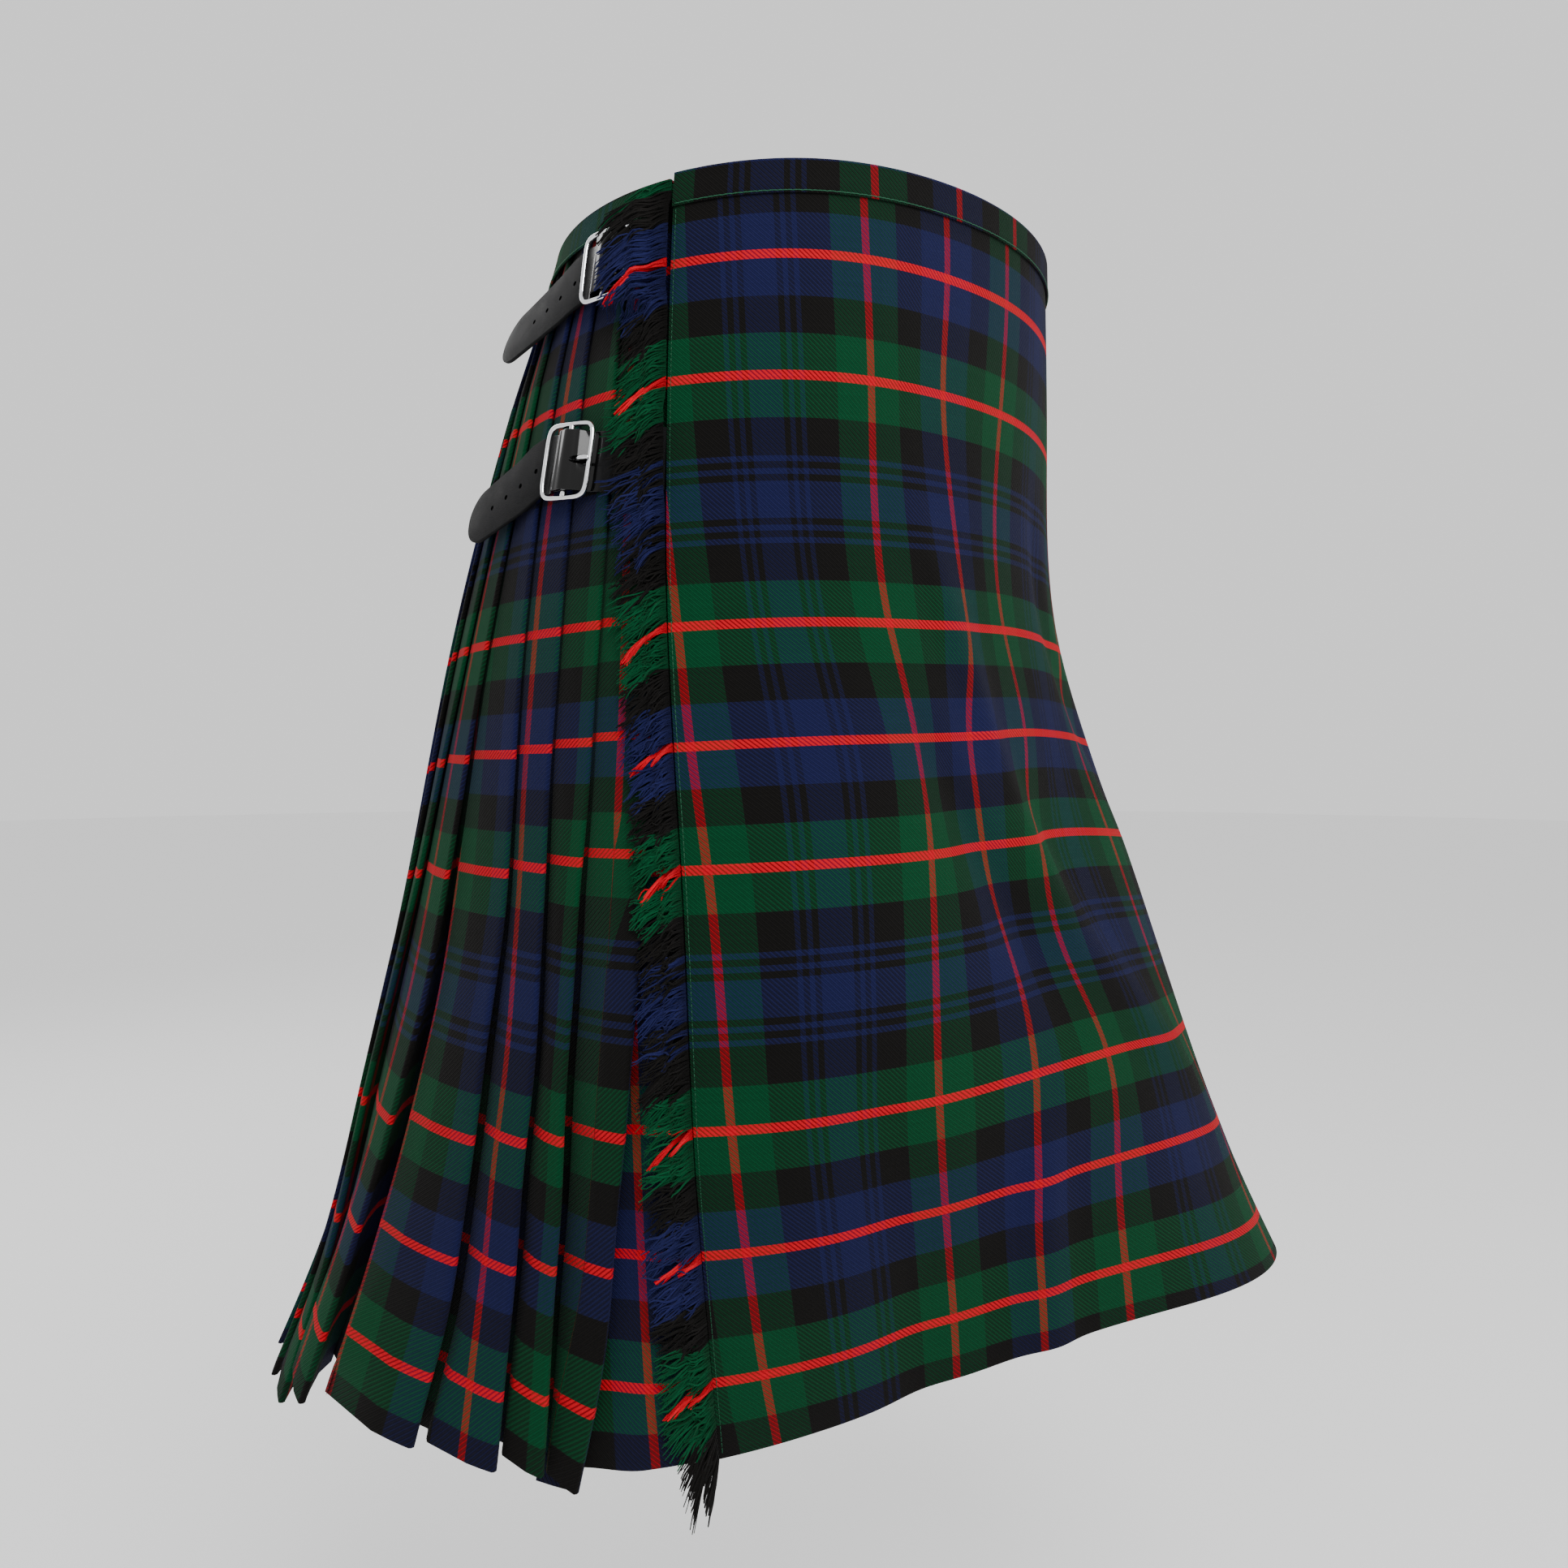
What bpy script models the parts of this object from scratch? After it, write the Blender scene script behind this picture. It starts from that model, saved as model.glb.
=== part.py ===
"""A wrap-over kilt of checked wool, hollow and standing as it is worn, in metres with +Z up.

The wearer faces -Y and the wearer's right is -X. The origin is at the centre of the waist.
A place on the cloth has a bearing, in degrees from the front towards the wearer's right,
and a drop, the height below the top edge. Every layer is worked out from one envelope:
the outer face of the over apron and of the pleats' fold edges.
"""

import math

import bmesh
import bpy
import numpy as np
from mathutils import Vector

MM = 0.001
KILT_DROP = 0.600
TOP_Z = 0.030
CLOTH = 1.2 * MM
PLEAT_CLOTH = 1.0 * MM
SEAM_GAP = 0.3 * MM
BAND_HEIGHT = 16.0 * MM
BAND_CLOTH = 1.0 * MM
BAND_GAP = 0.45 * MM
PLEAT_BAND_STATIONS = 41

# Radii in mm at bearings 0, 30 ... 330 degrees, from the waist down to the hem.
BEARING_STEP = 30.0
SECTION_COLUMNS = (
    "drop", "front", "front_right", "right_front", "right", "right_back", "back_right",
    "back", "back_left", "left_back", "left", "left_front", "front_left",
)
SECTIONS = (
    (0, 145, 152, 165, 169, 151, 136, 132, 136, 151, 168, 165, 151),
    (100, 146, 157, 179, 188, 179, 168, 164, 168, 179, 187, 175, 153),
    (220, 148, 163, 189, 207, 207, 199, 194, 198, 206, 204, 183, 160),
    (340, 172, 183, 219, 227, 229, 223, 217, 219, 223, 218, 205, 199),
    (460, 214, 201, 228, 246, 256, 248, 240, 240, 243, 239, 238, 238),
    (540, 222, 190, 216, 253, 277, 267, 256, 253, 254, 253, 264, 269),
    (600, 225, 184, 206, 261, 301, 289, 273, 268, 266, 268, 292, 297),
)
# How far the top edge and the hem lie above their even levels, in mm, at the same bearings.
TOP_EDGE_RISE = (1, 1, 0, -8, -14, -17, -18, -16, -11, -6, -1, 1)
HEM_RISE = (18, 8, -2, -10, -10, -7, -4, -4, -5, -4, 3, 11)

# Drag folds of the over apron towards the forward knee: ridges stand out, troughs are negative.
FOLD_COLUMNS = ("start_bearing", "start_drop", "end_bearing", "end_drop", "height", "half_width")
FOLDS = (
    (38.0, 170, 6.0, 400, 5.0, 15.0),
    (44.0, 255, 14.0, 430, -5.0, 16.0),
    (30.0, 290, -22.0, 520, 4.0, 18.0),
    (-6.0, 150, -30.0, 330, -3.0, 16.0),
    (52.0, 420, 40.0, 600, -4.0, 22.0),
    (22.0, 480, 17.0, 600, 4.0, 14.0),
    (-44.0, 300, -56.0, 600, 4.0, 18.0),
    (-62.0, 360, -70.0, 600, -4.0, 16.0),
)
FOLD_RADIUS = 0.20

# Bearings of the upright edges from the waist to the hem.
EDGE_COLUMNS = ("drop", "fringed_edge", "left_edge", "first_pleat", "last_pleat")
EDGES = (
    (0, 79.9, -84.0, 82.5, 272.0),
    (110, 78.6, -83.0, 81.0, 272.5),
    (220, 77.0, -82.0, 79.5, 273.0),
    (340, 72.9, -80.5, 78.3, 274.0),
    (460, 70.8, -79.0, 79.1, 275.0),
    (600, 69.0, -78.0, 83.6, 276.0),
)
# Drops in mm of the rows that the aprons and the pleats are carried through; the bands lie above the
# second row, and the under layers have risen against the over apron by the third.
ROW_DROPS = (0, 20, 80, 150, 220, 290, 355, 420, 480, 540, 600)
BAND_ROW = 1
RISEN_ROW = 2
APRON_COLUMNS = 33
# The under apron's free edge lies at this share of the over apron's width.
UNDER_APRON_SHARE = 0.87

PLEATS = 26
# Widths of the foremost pleats on the wearer's right, as shares of a plain pleat's width.
FAN_COLUMNS = ("drop", "pleat_0", "pleat_1", "pleat_2", "pleat_3", "pleat_4", "pleat_5", "pleat_6")
FAN = (
    (0, 1.00, 1.00, 1.00, 1.00, 1.00, 1.00, 1.00),
    (200, 1.02, 0.94, 1.00, 1.04, 1.00, 1.00, 1.00),
    (400, 1.02, 0.72, 0.90, 1.52, 1.05, 0.96, 1.00),
    (600, 0.46, 0.63, 1.12, 2.30, 1.05, 0.94, 1.04),
)
# The other pleats' widths swing about the mean by this share at the hem.
FAN_SWING = 0.12
WAIST_STEP = 2.75 * MM
HEM_STEP = 8.0 * MM
HIDDEN_AT_WAIST = 13.0 * MM
HIDDEN_AT_HEM = 26.0 * MM
FELL_DROP = 0.200
LAST_PAGE = 30.0 * MM
# The gap between a page's hidden tail and the way back to the next fold edge, how far a fold's turn
# stands out as a share of its thickness, and the first fold's hidden cloth as a share of the others'.
PLEAT_GAP = 0.38 * MM
TURN_BULGE = 0.55
FIRST_TAIL = 0.8
# The inner leg of a band as a share of its outer leg, and the pleats' further layers beneath a band.
BAND_INNER_LEG = 0.8
PLEAT_STACK = 2.6 * MM

FRINGE_LOCKS = 56
FRINGE_TOP = 5.0 * MM
FRINGE_BELOW_HEM = 20.0 * MM
FRINGE_CLOTH = 0.8 * MM
FRINGE_CLEAR = 0.9 * MM
BUCKLE_CLEAR = 1.5 * MM
LOCK_HALF = 1.2 * MM
# A fringe row's start, the root of its locks and their reach from the apron's edge, its height off
# the envelope and the droop of its tips, all in mm.
FRINGE_COLUMNS = ("name", "start", "root", "reach", "out", "droop")
FRINGES = (
    ("fringe_near", 0.35, 2.8, 12, 0.60, 4),
    ("fringe_far", 3.2, 6.0, 22, -0.75, 5),
)

STRAP_WIDTH = 30.0 * MM
STRAP_THICK = 2.0 * MM
TAB_THICK = 1.4 * MM
TAB_WIDTH = 26.0 * MM
BUCKLE_LENGTH = 31.0 * MM
BUCKLE_HEIGHT = 39.0 * MM
BUCKLE_WIRE = 1.7 * MM
BUCKLE_BAR = 1.5 * MM
BUCKLE_CORNER = 6.0 * MM
PRONG_WIRE = 1.2 * MM
HOLE_RADIUS = 1.6 * MM
HOLES = 4
HOLE_START = 9.0 * MM
HOLE_SPACING = 11.5 * MM
# The slot through which the prong comes up: a hole stretched along the strap.
SLOT_RADIUS = 2.3 * MM
SLOT_STRETCH = 2.0
# A strap's row: its name, the drop and bearing of its buckle, which way it runs from the apron's
# edge, its length from the buckle's middle to the edge and to its free end, its fall through the
# buckle and the further fall of its free end, and the radius at which the stiff end springs off.
STRAP_COLUMNS = ("name", "drop", "buckle_bearing", "way", "to_edge", "to_tip", "tilt", "droop", "spring")
STRAPS = (
    ("waist_right", 37.5, 91.0, 1, 30, 88, 0.00, 0.27, 200),
    ("hip_right", 134.5, 93.4, 1, 50, 80, -0.10, 0.44, 250),
    ("waist_left", 37.5, -95.5, -1, 30, 80, 0.00, 0.12, 230),
)

CHECK_GREEN = (0.004, 0.075, 0.030, 1.0)
CHECK_NAVY = (0.010, 0.018, 0.110, 1.0)
LEATHER_BLACK = (0.018, 0.017, 0.017, 1.0)
CHROME = (0.78, 0.79, 0.80, 1.0)


def natural_spline(knots, values, at):
    """Reads a cubic through rows of values, with no bend at its ends, at the places given."""
    knots = np.asarray(knots, float)
    values = np.asarray(values, float)
    at = np.clip(np.asarray(at, float), knots[0], knots[-1])
    gaps = np.diff(knots)
    count = len(knots)
    system = np.eye(count)
    right = np.zeros_like(values)
    for i in range(1, count - 1):
        system[i, i - 1:i + 2] = gaps[i - 1], 2 * (gaps[i - 1] + gaps[i]), gaps[i]
        rise_after = (values[i + 1] - values[i]) / gaps[i]
        rise_before = (values[i] - values[i - 1]) / gaps[i - 1]
        right[i] = 6 * (rise_after - rise_before)
    bends = np.linalg.solve(system, right)
    i = np.clip(np.searchsorted(knots, at, side="right") - 1, 0, count - 2)
    width = gaps[i]
    ahead = (at - knots[i]) / width
    behind = 1 - ahead
    trailing = (1,) * (values.ndim - 1)
    ahead, behind, width = (part.reshape(part.shape + trailing) for part in (ahead, behind, width))
    straight = behind * values[i] + ahead * values[i + 1]
    bend = (behind**3 - behind) * bends[i] + (ahead**3 - ahead) * bends[i + 1]
    return straight + bend * width**2 / 6


def closed_spline(values, bearing):
    """Reads a closed cubic through values at even bearings, at the bearings given."""
    values = np.asarray(values, float)
    count = values.shape[-1]
    system = np.zeros((count, count))
    for i in range(count):
        system[i, i] = 4 / 6
        system[i, (i - 1) % count] = 1 / 6
        system[i, (i + 1) % count] = 1 / 6
    controls = values @ np.linalg.inv(system).T
    place = np.asarray(bearing, float) / BEARING_STEP
    first = np.floor(place)
    t = place - first
    weights = ((1 - t)**3, 3 * t**3 - 6 * t**2 + 4, -3 * t**3 + 3 * t**2 + 3 * t + 1, t**3)
    total = 0.0
    for shift, weight in zip((-1, 0, 1, 2), weights):
        index = (first.astype(int) + shift) % count
        if controls.ndim == 1:
            control = controls[index]
        else:
            control = np.take_along_axis(controls, index[..., None], -1)[..., 0]
        total = total + weight * control / 6
    return total


def smooth_step(value, low, high):
    share = np.clip((np.asarray(value, float) - low) / (high - low), 0, 1)
    return share * share * (3 - 2 * share)


def fold_relief(bearing, drop):
    """Adds each fold as a soft ridge along a straight line, which fades at its two ends."""
    bearing = (np.asarray(bearing, float) + 180) % 360 - 180
    across = np.radians(bearing) * FOLD_RADIUS
    relief = np.zeros(np.broadcast(across, drop).shape)
    for row in FOLDS:
        fold = dict(zip(FOLD_COLUMNS, row))
        start = np.array((math.radians(fold["start_bearing"]) * FOLD_RADIUS, fold["start_drop"] * MM))
        end = np.array((math.radians(fold["end_bearing"]) * FOLD_RADIUS, fold["end_drop"] * MM))
        along = (end - start) / np.linalg.norm(end - start)
        reach = ((across - start[0]) * along[0] + (drop - start[1]) * along[1]) / np.linalg.norm(end - start)
        off = (across - start[0]) * along[1] - (drop - start[1]) * along[0]
        fade = smooth_step(reach, -0.12, 0.30)
        if fold["end_drop"] * MM < KILT_DROP:
            fade = fade * smooth_step(-reach, -1.12, -0.70)
        relief = relief + fold["height"] * MM * fade * np.exp(-((off / (fold["half_width"] * MM))**2))
    return relief


def envelope_radius(bearing, drop):
    knots = [row[0] * MM for row in SECTIONS]
    radii = [row[1:] for row in SECTIONS]
    bearing, drop = np.broadcast_arrays(np.asarray(bearing, float), np.asarray(drop, float))
    return closed_spline(natural_spline(knots, radii, drop) * MM, bearing) + fold_relief(bearing, drop)


def level(bearing, drop):
    """Gives the height of a place: even rows, tilted to follow the top edge's and the hem's rise."""
    share = np.asarray(drop, float) / KILT_DROP
    top = closed_spline(TOP_EDGE_RISE, bearing) * MM
    hem = closed_spline(HEM_RISE, bearing) * MM
    return TOP_Z - drop + top * (1 - share) + hem * share


def plan(bearing, drop):
    angle = np.radians(bearing)
    radius = envelope_radius(bearing, drop)
    return np.stack([-radius * np.sin(angle), -radius * np.cos(angle)], -1)


def outward(bearing, drop):
    """The level direction square to the envelope's section, pointing away from the wearer."""
    step = 0.5
    run = plan(np.asarray(bearing) + step, drop) - plan(np.asarray(bearing) - step, drop)
    run = run / np.linalg.norm(run, axis=-1, keepdims=True)
    return np.stack([-run[..., 1], run[..., 0]], -1)


def place(bearing, drop, out=0.0):
    """The point at a bearing and a drop, moved out from the envelope by a distance."""
    bearing, drop = np.broadcast_arrays(np.asarray(bearing, float), np.asarray(drop, float))
    flat = plan(bearing, drop) + outward(bearing, drop) * np.asarray(out, float)[..., None]
    return np.concatenate([flat, level(bearing, drop)[..., None]], -1)


def edge(name, drop):
    column = EDGE_COLUMNS.index(name)
    return natural_spline([row[0] * MM for row in EDGES], [row[column] for row in EDGES], drop)


def under_depth(drop):
    """How far the outer face of the under layers lies inside the envelope: more beneath the bands."""
    bands = 2 * BAND_CLOTH + 3 * BAND_GAP + CLOTH
    low, high = ROW_DROPS[BAND_ROW] * MM, ROW_DROPS[RISEN_ROW] * MM
    risen = np.clip((np.asarray(drop, float) - low) / (high - low), 0, 1)
    return CLOTH + SEAM_GAP + (bands - CLOTH - SEAM_GAP) * (1 - risen)


def material(name, colour, roughness, metallic=0.0):
    made = bpy.data.materials.new(name)
    made.use_nodes = True
    shader = made.node_tree.nodes["Principled BSDF"]
    shader.inputs["Base Color"].default_value = colour
    shader.inputs["Roughness"].default_value = roughness
    shader.inputs["Metallic"].default_value = metallic
    return made


def add_object(name, mesh, collection, finish):
    made = bpy.data.objects.new(name, mesh)
    collection.objects.link(made)
    made.data.materials.append(finish)
    return made


def facing_out(mesh):
    work = bmesh.new()
    work.from_mesh(mesh)
    bmesh.ops.recalc_face_normals(work, faces=work.faces)
    work.to_mesh(mesh)
    work.free()


def grid_faces(rows, columns, base=0):
    r, c = np.meshgrid(np.arange(rows - 1), np.arange(columns - 1), indexing="ij")
    first = base + r * columns + c
    return np.stack([first, first + 1, first + columns + 1, first + columns], -1).reshape(-1, 4).tolist()


def sheet(name, points, thickness, collection, finish):
    """An open surface through a grid of points, given its wall inwards by Solidify."""
    rows, columns = points.shape[:2]
    mesh = bpy.data.meshes.new(name)
    mesh.from_pydata(points.reshape(-1, 3).tolist(), [], grid_faces(rows, columns))
    made = add_object(name, mesh, collection, finish)
    middle = points[rows // 2, columns // 2]
    normal = mesh.polygons[(rows // 2) * (columns - 1) + columns // 2].normal
    solidify = made.modifiers.new("Wall", "SOLIDIFY")
    solidify.thickness = thickness
    solidify.offset = -1.0 if normal.x * middle[0] + normal.y * middle[1] > 0 else 1.0
    return made


def walled(name, outer, inner, collection, finish):
    """A closed wall between two grids of points with the same rows and columns."""
    rows, columns = outer.shape[:2]
    count = rows * columns
    faces = grid_faces(rows, columns) + [face[::-1] for face in grid_faces(rows, columns, count)]
    for row in (0, rows - 1):
        for c in range(columns - 1):
            a = row * columns + c
            faces.append([a, a + 1, a + 1 + count, a + count])
    for column in (0, columns - 1):
        for r in range(rows - 1):
            a = r * columns + column
            faces.append([a, a + columns, a + columns + count, a + count])
    mesh = bpy.data.meshes.new(name)
    points = np.concatenate([outer.reshape(-1, 3), inner.reshape(-1, 3)])
    mesh.from_pydata(points.tolist(), [], faces)
    facing_out(mesh)
    return add_object(name, mesh, collection, finish)


def lofted(name, rings, collection, finish):
    """A closed solid through rings of points, with a flat cap at each end."""
    count, sides = rings.shape[:2]
    faces = []
    for i in range(count - 1):
        for j in range(sides):
            a, b = i * sides + j, i * sides + (j + 1) % sides
            faces.append([a, b, b + sides, a + sides])
    faces.append(list(range(sides)))
    faces.append(list(range((count - 1) * sides, count * sides)))
    mesh = bpy.data.meshes.new(name)
    mesh.from_pydata(rings.reshape(-1, 3).tolist(), [], faces)
    facing_out(mesh)
    return add_object(name, mesh, collection, finish)


def apron_bearings(drops, shares):
    """Bearings at shares of the over apron's width, from its fringed edge to its left edge."""
    return edge("fringed_edge", drops) * (1 - shares) + edge("left_edge", drops) * shares


def make_over_apron(collection, finish):
    drops = np.array(ROW_DROPS)[:, None] * MM
    shares = np.linspace(0, 1, APRON_COLUMNS)[None, :]
    return sheet("over_apron", place(apron_bearings(drops, shares), drops), CLOTH, collection, finish)


def make_under_apron(collection, finish):
    """Runs from behind the first pleat, under the over apron, to its free edge at the left."""
    drops = np.array(ROW_DROPS)[:, None] * MM
    start = edge("first_pleat", drops)
    radius = envelope_radius(start, drops)
    tucked = start + np.degrees(hidden_depth(drops) * FIRST_TAIL / radius)
    beside = apron_bearings(drops, 0.0)
    before = tucked + (beside - tucked) * np.linspace(0, 1, 6)[None, :-1]
    columns = round((APRON_COLUMNS - 1) * UNDER_APRON_SHARE) + 1
    behind = apron_bearings(drops, np.linspace(0, 1, APRON_COLUMNS)[None, :columns])
    bearings = np.concatenate([before, behind], 1)
    ahead = np.radians(start - bearings) * radius
    # The cloth comes out from behind the first pleat and rises to lie against the over apron.
    sunk = (pleat_step(drops) + 0.4 * MM) * (1 - smooth_step(ahead, 0, 0.030)) + 0.1 * MM
    sunk = sunk + np.maximum(-ahead, 0) * pleat_slope(drops, 0)
    return sheet("under_apron", place(bearings, drops, -under_depth(drops) - sunk), CLOTH, collection, finish)


def pleat_step(drop):
    """How far a page sinks by the time that the next fold covers it."""
    return WAIST_STEP + (HEM_STEP - WAIST_STEP) * smooth_step(drop, FELL_DROP, KILT_DROP * 1.05)


def hidden_depth(drop):
    return HIDDEN_AT_WAIST + (HIDDEN_AT_HEM - HIDDEN_AT_WAIST) * smooth_step(drop, FELL_DROP * 0.8, KILT_DROP)


def fold_bearings(drop):
    """Bearings of the pleats' fold edges at one drop, even at the waist and fanned at the hem."""
    first = float(edge("first_pleat", drop))
    last = float(edge("last_pleat", drop))
    spread = float(smooth_step(drop, FELL_DROP, KILT_DROP))
    shares = 1 + FAN_SWING * spread * np.sin(2.3 * np.arange(PLEATS))
    fan = natural_spline([row[0] * MM for row in FAN], [row[1:] for row in FAN], drop)
    shares[:len(fan)] = fan
    fine = np.linspace(first, last, 721)
    path = plan(fine, np.full_like(fine, drop))
    lengths = np.concatenate([[0], np.cumsum(np.linalg.norm(np.diff(path, axis=0), axis=1))])
    reach = np.concatenate([[0], np.cumsum(shares)]) / shares.sum() * lengths[-1]
    return np.interp(reach, lengths, fine), np.diff(reach), fine, lengths


def pleat_slope(drops, index):
    """How steeply a page sinks inwards behind its fold edge, at each of several drops."""
    drops = np.asarray(drops, float)
    widths = np.array([fold_bearings(float(d))[1][index] for d in drops.ravel()])
    return pleat_step(drops) / widths.reshape(drops.shape)


def page_line(drop):
    """Centre line of the folded cloth at one drop: reach along the envelope, and sink below it."""
    bearings, widths, fine, lengths = fold_bearings(drop)
    starts = np.interp(bearings, fine, lengths)
    step = float(pleat_step(drop))
    hidden = float(hidden_depth(drop))
    pitch = PLEAT_CLOTH + PLEAT_GAP
    half = PLEAT_CLOTH / 2
    reach = []
    sink = []
    for i in range(PLEATS):
        slope = step / widths[i]
        tail = hidden if i + 1 < PLEATS else LAST_PAGE
        ends = starts[i + 1] + tail
        deep = half + slope * (ends - starts[i])
        # The fold edge, the page down to the next fold, then its hidden tail and its turn.
        reach += [starts[i] - pitch * TURN_BULGE, starts[i], starts[i + 1]]
        sink += [half + pitch / 2, half, half + slope * widths[i]]
        if i + 1 < PLEATS:
            reach += [ends, ends + pitch * TURN_BULGE, ends, starts[i + 1]]
            sink += [deep, deep - pitch / 2, deep - pitch, half + pitch]
        else:
            reach += [ends]
            sink += [min(deep, half + slope * widths[i] + 1.0 * MM)]
    # The first fold also turns under, forward of the page, to the cloth that it comes from.
    first_width = widths[0]
    tail = hidden * FIRST_TAIL
    back = half + step / first_width * (tail + first_width) - pitch
    reach = [starts[0] + tail, starts[0]] + reach
    sink = [min(back, half + pitch + step * tail / first_width), half + pitch] + sink
    return np.array(reach), np.array(sink), fine, lengths


def make_pleats(collection, finish):
    """Carries the folded line from the waist to the hem and gives it the cloth's thickness."""
    drops = np.array(ROW_DROPS) * MM
    sides = ([], [])
    for drop in drops:
        reach, sink, fine, lengths = page_line(drop)
        line = np.stack([reach, -sink], -1)
        run = np.diff(line, axis=0)
        run = run / np.linalg.norm(run, axis=1, keepdims=True)
        normals = np.stack([-run[:, 1], run[:, 0]], -1)
        before = np.concatenate([normals[:1], normals])
        after = np.concatenate([normals, normals[-1:]])
        mitre = before + after
        mitre = mitre / np.linalg.norm(mitre, axis=1, keepdims=True)
        stretch = 1 / np.clip((mitre * after).sum(1), 0.7, 1.0)
        offset = mitre * stretch[:, None] * PLEAT_CLOTH / 2
        beyond = (fine[-1] - fine[-2]) / (lengths[-1] - lengths[-2])
        for side, sign in zip(sides, (1, -1)):
            moved = line + offset * sign
            bearing = np.interp(moved[:, 0], lengths, fine)
            bearing = bearing + np.maximum(moved[:, 0] - lengths[-1], 0) * beyond
            bearing = bearing + np.minimum(moved[:, 0], 0) * beyond
            side.append(place(bearing, np.full_like(bearing, drop), moved[:, 1] - under_depth(drop)))
    outer, inner = (np.array(side) for side in sides)
    return walled("pleats", outer, inner, collection, finish)


def band_rings(bearings, out, wall_depth):
    """An inverted U over the top edge: an outer leg, a bridge and an inner leg."""
    rim = -(BAND_GAP + BAND_CLOTH)
    outer = out + BAND_GAP
    inner = out - wall_depth - BAND_GAP
    short = BAND_HEIGHT * BAND_INNER_LEG
    profile = (
        (outer + BAND_CLOTH, BAND_HEIGHT), (outer + BAND_CLOTH, rim),
        (inner - BAND_CLOTH, rim), (inner - BAND_CLOTH, short),
        (inner, short), (inner, -BAND_GAP), (outer, -BAND_GAP), (outer, BAND_HEIGHT),
    )
    rings = [place(bearings, drop, far) for far, drop in profile]
    return np.stack(rings, 1)


def make_bands(collection, finish):
    right, left, first, last = (
        float(edge(name, BAND_HEIGHT)) for name in ("fringed_edge", "left_edge", "first_pleat", "last_pleat")
    )
    columns = np.linspace(right, left, APRON_COLUMNS)
    folded = WAIST_STEP + PLEAT_CLOTH + PLEAT_STACK
    under = -float(under_depth(0.0))
    over_band = band_rings(columns, 0.0, CLOTH)
    lofted("waistband_over", over_band, collection, finish)
    pleat_band = band_rings(np.linspace(first - 1.0, last + 8.0, PLEAT_BAND_STATIONS), under, folded)
    lofted("waistband_pleats", pleat_band, collection, finish)
    beneath = columns[2:round((APRON_COLUMNS - 1) * UNDER_APRON_SHARE) + 1]
    under_band = band_rings(beneath, under - 0.1 * MM, CLOTH)
    lofted("waistband_under", under_band, collection, finish)


def strap_lift(drop):
    """Raises the fringe where a strap comes out from beneath it."""
    lift = 0.0
    for row in STRAPS:
        strap = dict(zip(STRAP_COLUMNS, row))
        if strap["way"] > 0:
            off = np.abs(np.asarray(drop) - strap["drop"] * MM)
            near, far = STRAP_WIDTH / 2 + 3 * MM, STRAP_WIDTH / 2 + 14 * MM
            lift = lift + (STRAP_THICK + FRINGE_CLEAR) * (1 - smooth_step(off, near, far))
    return lift


def room_to_buckle(drop):
    """How far from the apron's edge a lock may reach before it meets a buckle."""
    room = np.full_like(np.asarray(drop, float), 1.0)
    for row in STRAPS:
        strap = dict(zip(STRAP_COLUMNS, row))
        if strap["way"] > 0:
            beside = np.abs(drop - strap["drop"] * MM) < BUCKLE_HEIGHT / 2 + 4 * MM
            room = np.where(beside, strap["to_edge"] * MM - BUCKLE_LENGTH / 2 - BUCKLE_CLEAR, room)
    return room


def make_fringe(fringe, collection, finish):
    """A narrow strip along the apron's edge with flat locks of wool standing out of it."""
    start, root, reach, out, droop = (fringe[name] * MM for name in FRINGE_COLUMNS[1:])
    drops = np.linspace(FRINGE_TOP, KILT_DROP + FRINGE_BELOW_HEM, 2 * FRINGE_LOCKS)
    within = np.minimum(drops, KILT_DROP)
    radius = envelope_radius(edge("fringed_edge", within), within)

    def along(distance, lower=0.0, rise=0.0):
        bearing = edge("fringed_edge", within) + np.degrees(distance / radius)
        points = place(bearing, np.minimum(within + lower, KILT_DROP), out + strap_lift(drops + lower) + rise)
        below = np.maximum(drops + lower - KILT_DROP, 0)
        points[:, 2] -= below
        return points

    turn = np.arange(2 * FRINGE_LOCKS) // 2
    uneven = 0.5 + 0.5 * np.sin(2.1 * turn) * np.sin(0.7 * turn + 1.0)
    length = np.minimum(reach * (0.84 + 0.16 * uneven), room_to_buckle(drops + droop))
    narrow = np.where(np.arange(2 * FRINGE_LOCKS) % 2 == 0, 1.0, -1.0) * LOCK_HALF
    strip = [along(start, rise=0.0), along(start, rise=FRINGE_CLOTH),
             along(root, rise=FRINGE_CLOTH), along(root, rise=0.0)]
    lower = droop + narrow
    tips = [along(length, lower, FRINGE_CLOTH), along(length, lower, 0.15 * MM)]
    points = np.concatenate(strip + tips)
    count = len(drops)
    faces = []
    for i in range(count - 1):
        for side in range(4):
            if side == 2 and i % 2 == 0:
                continue
            a, b = side * count + i, ((side + 1) % 4) * count + i
            faces.append([a, b, b + 1, a + 1])
    for i in range(0, count, 2):
        roots = [2 * count + i, 2 * count + i + 1, 3 * count + i + 1, 3 * count + i]
        ends = [4 * count + i, 4 * count + i + 1, 5 * count + i + 1, 5 * count + i]
        for j in range(4):
            faces.append([roots[j], roots[(j + 1) % 4], ends[(j + 1) % 4], ends[j]])
        faces.append(ends)
    for i in (0, count - 1):
        faces.append([side * count + i for side in range(4)])
    mesh = bpy.data.meshes.new(fringe["name"])
    mesh.from_pydata(points.tolist(), [], faces)
    facing_out(mesh)
    return add_object(fringe["name"], mesh, collection, finish)


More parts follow.
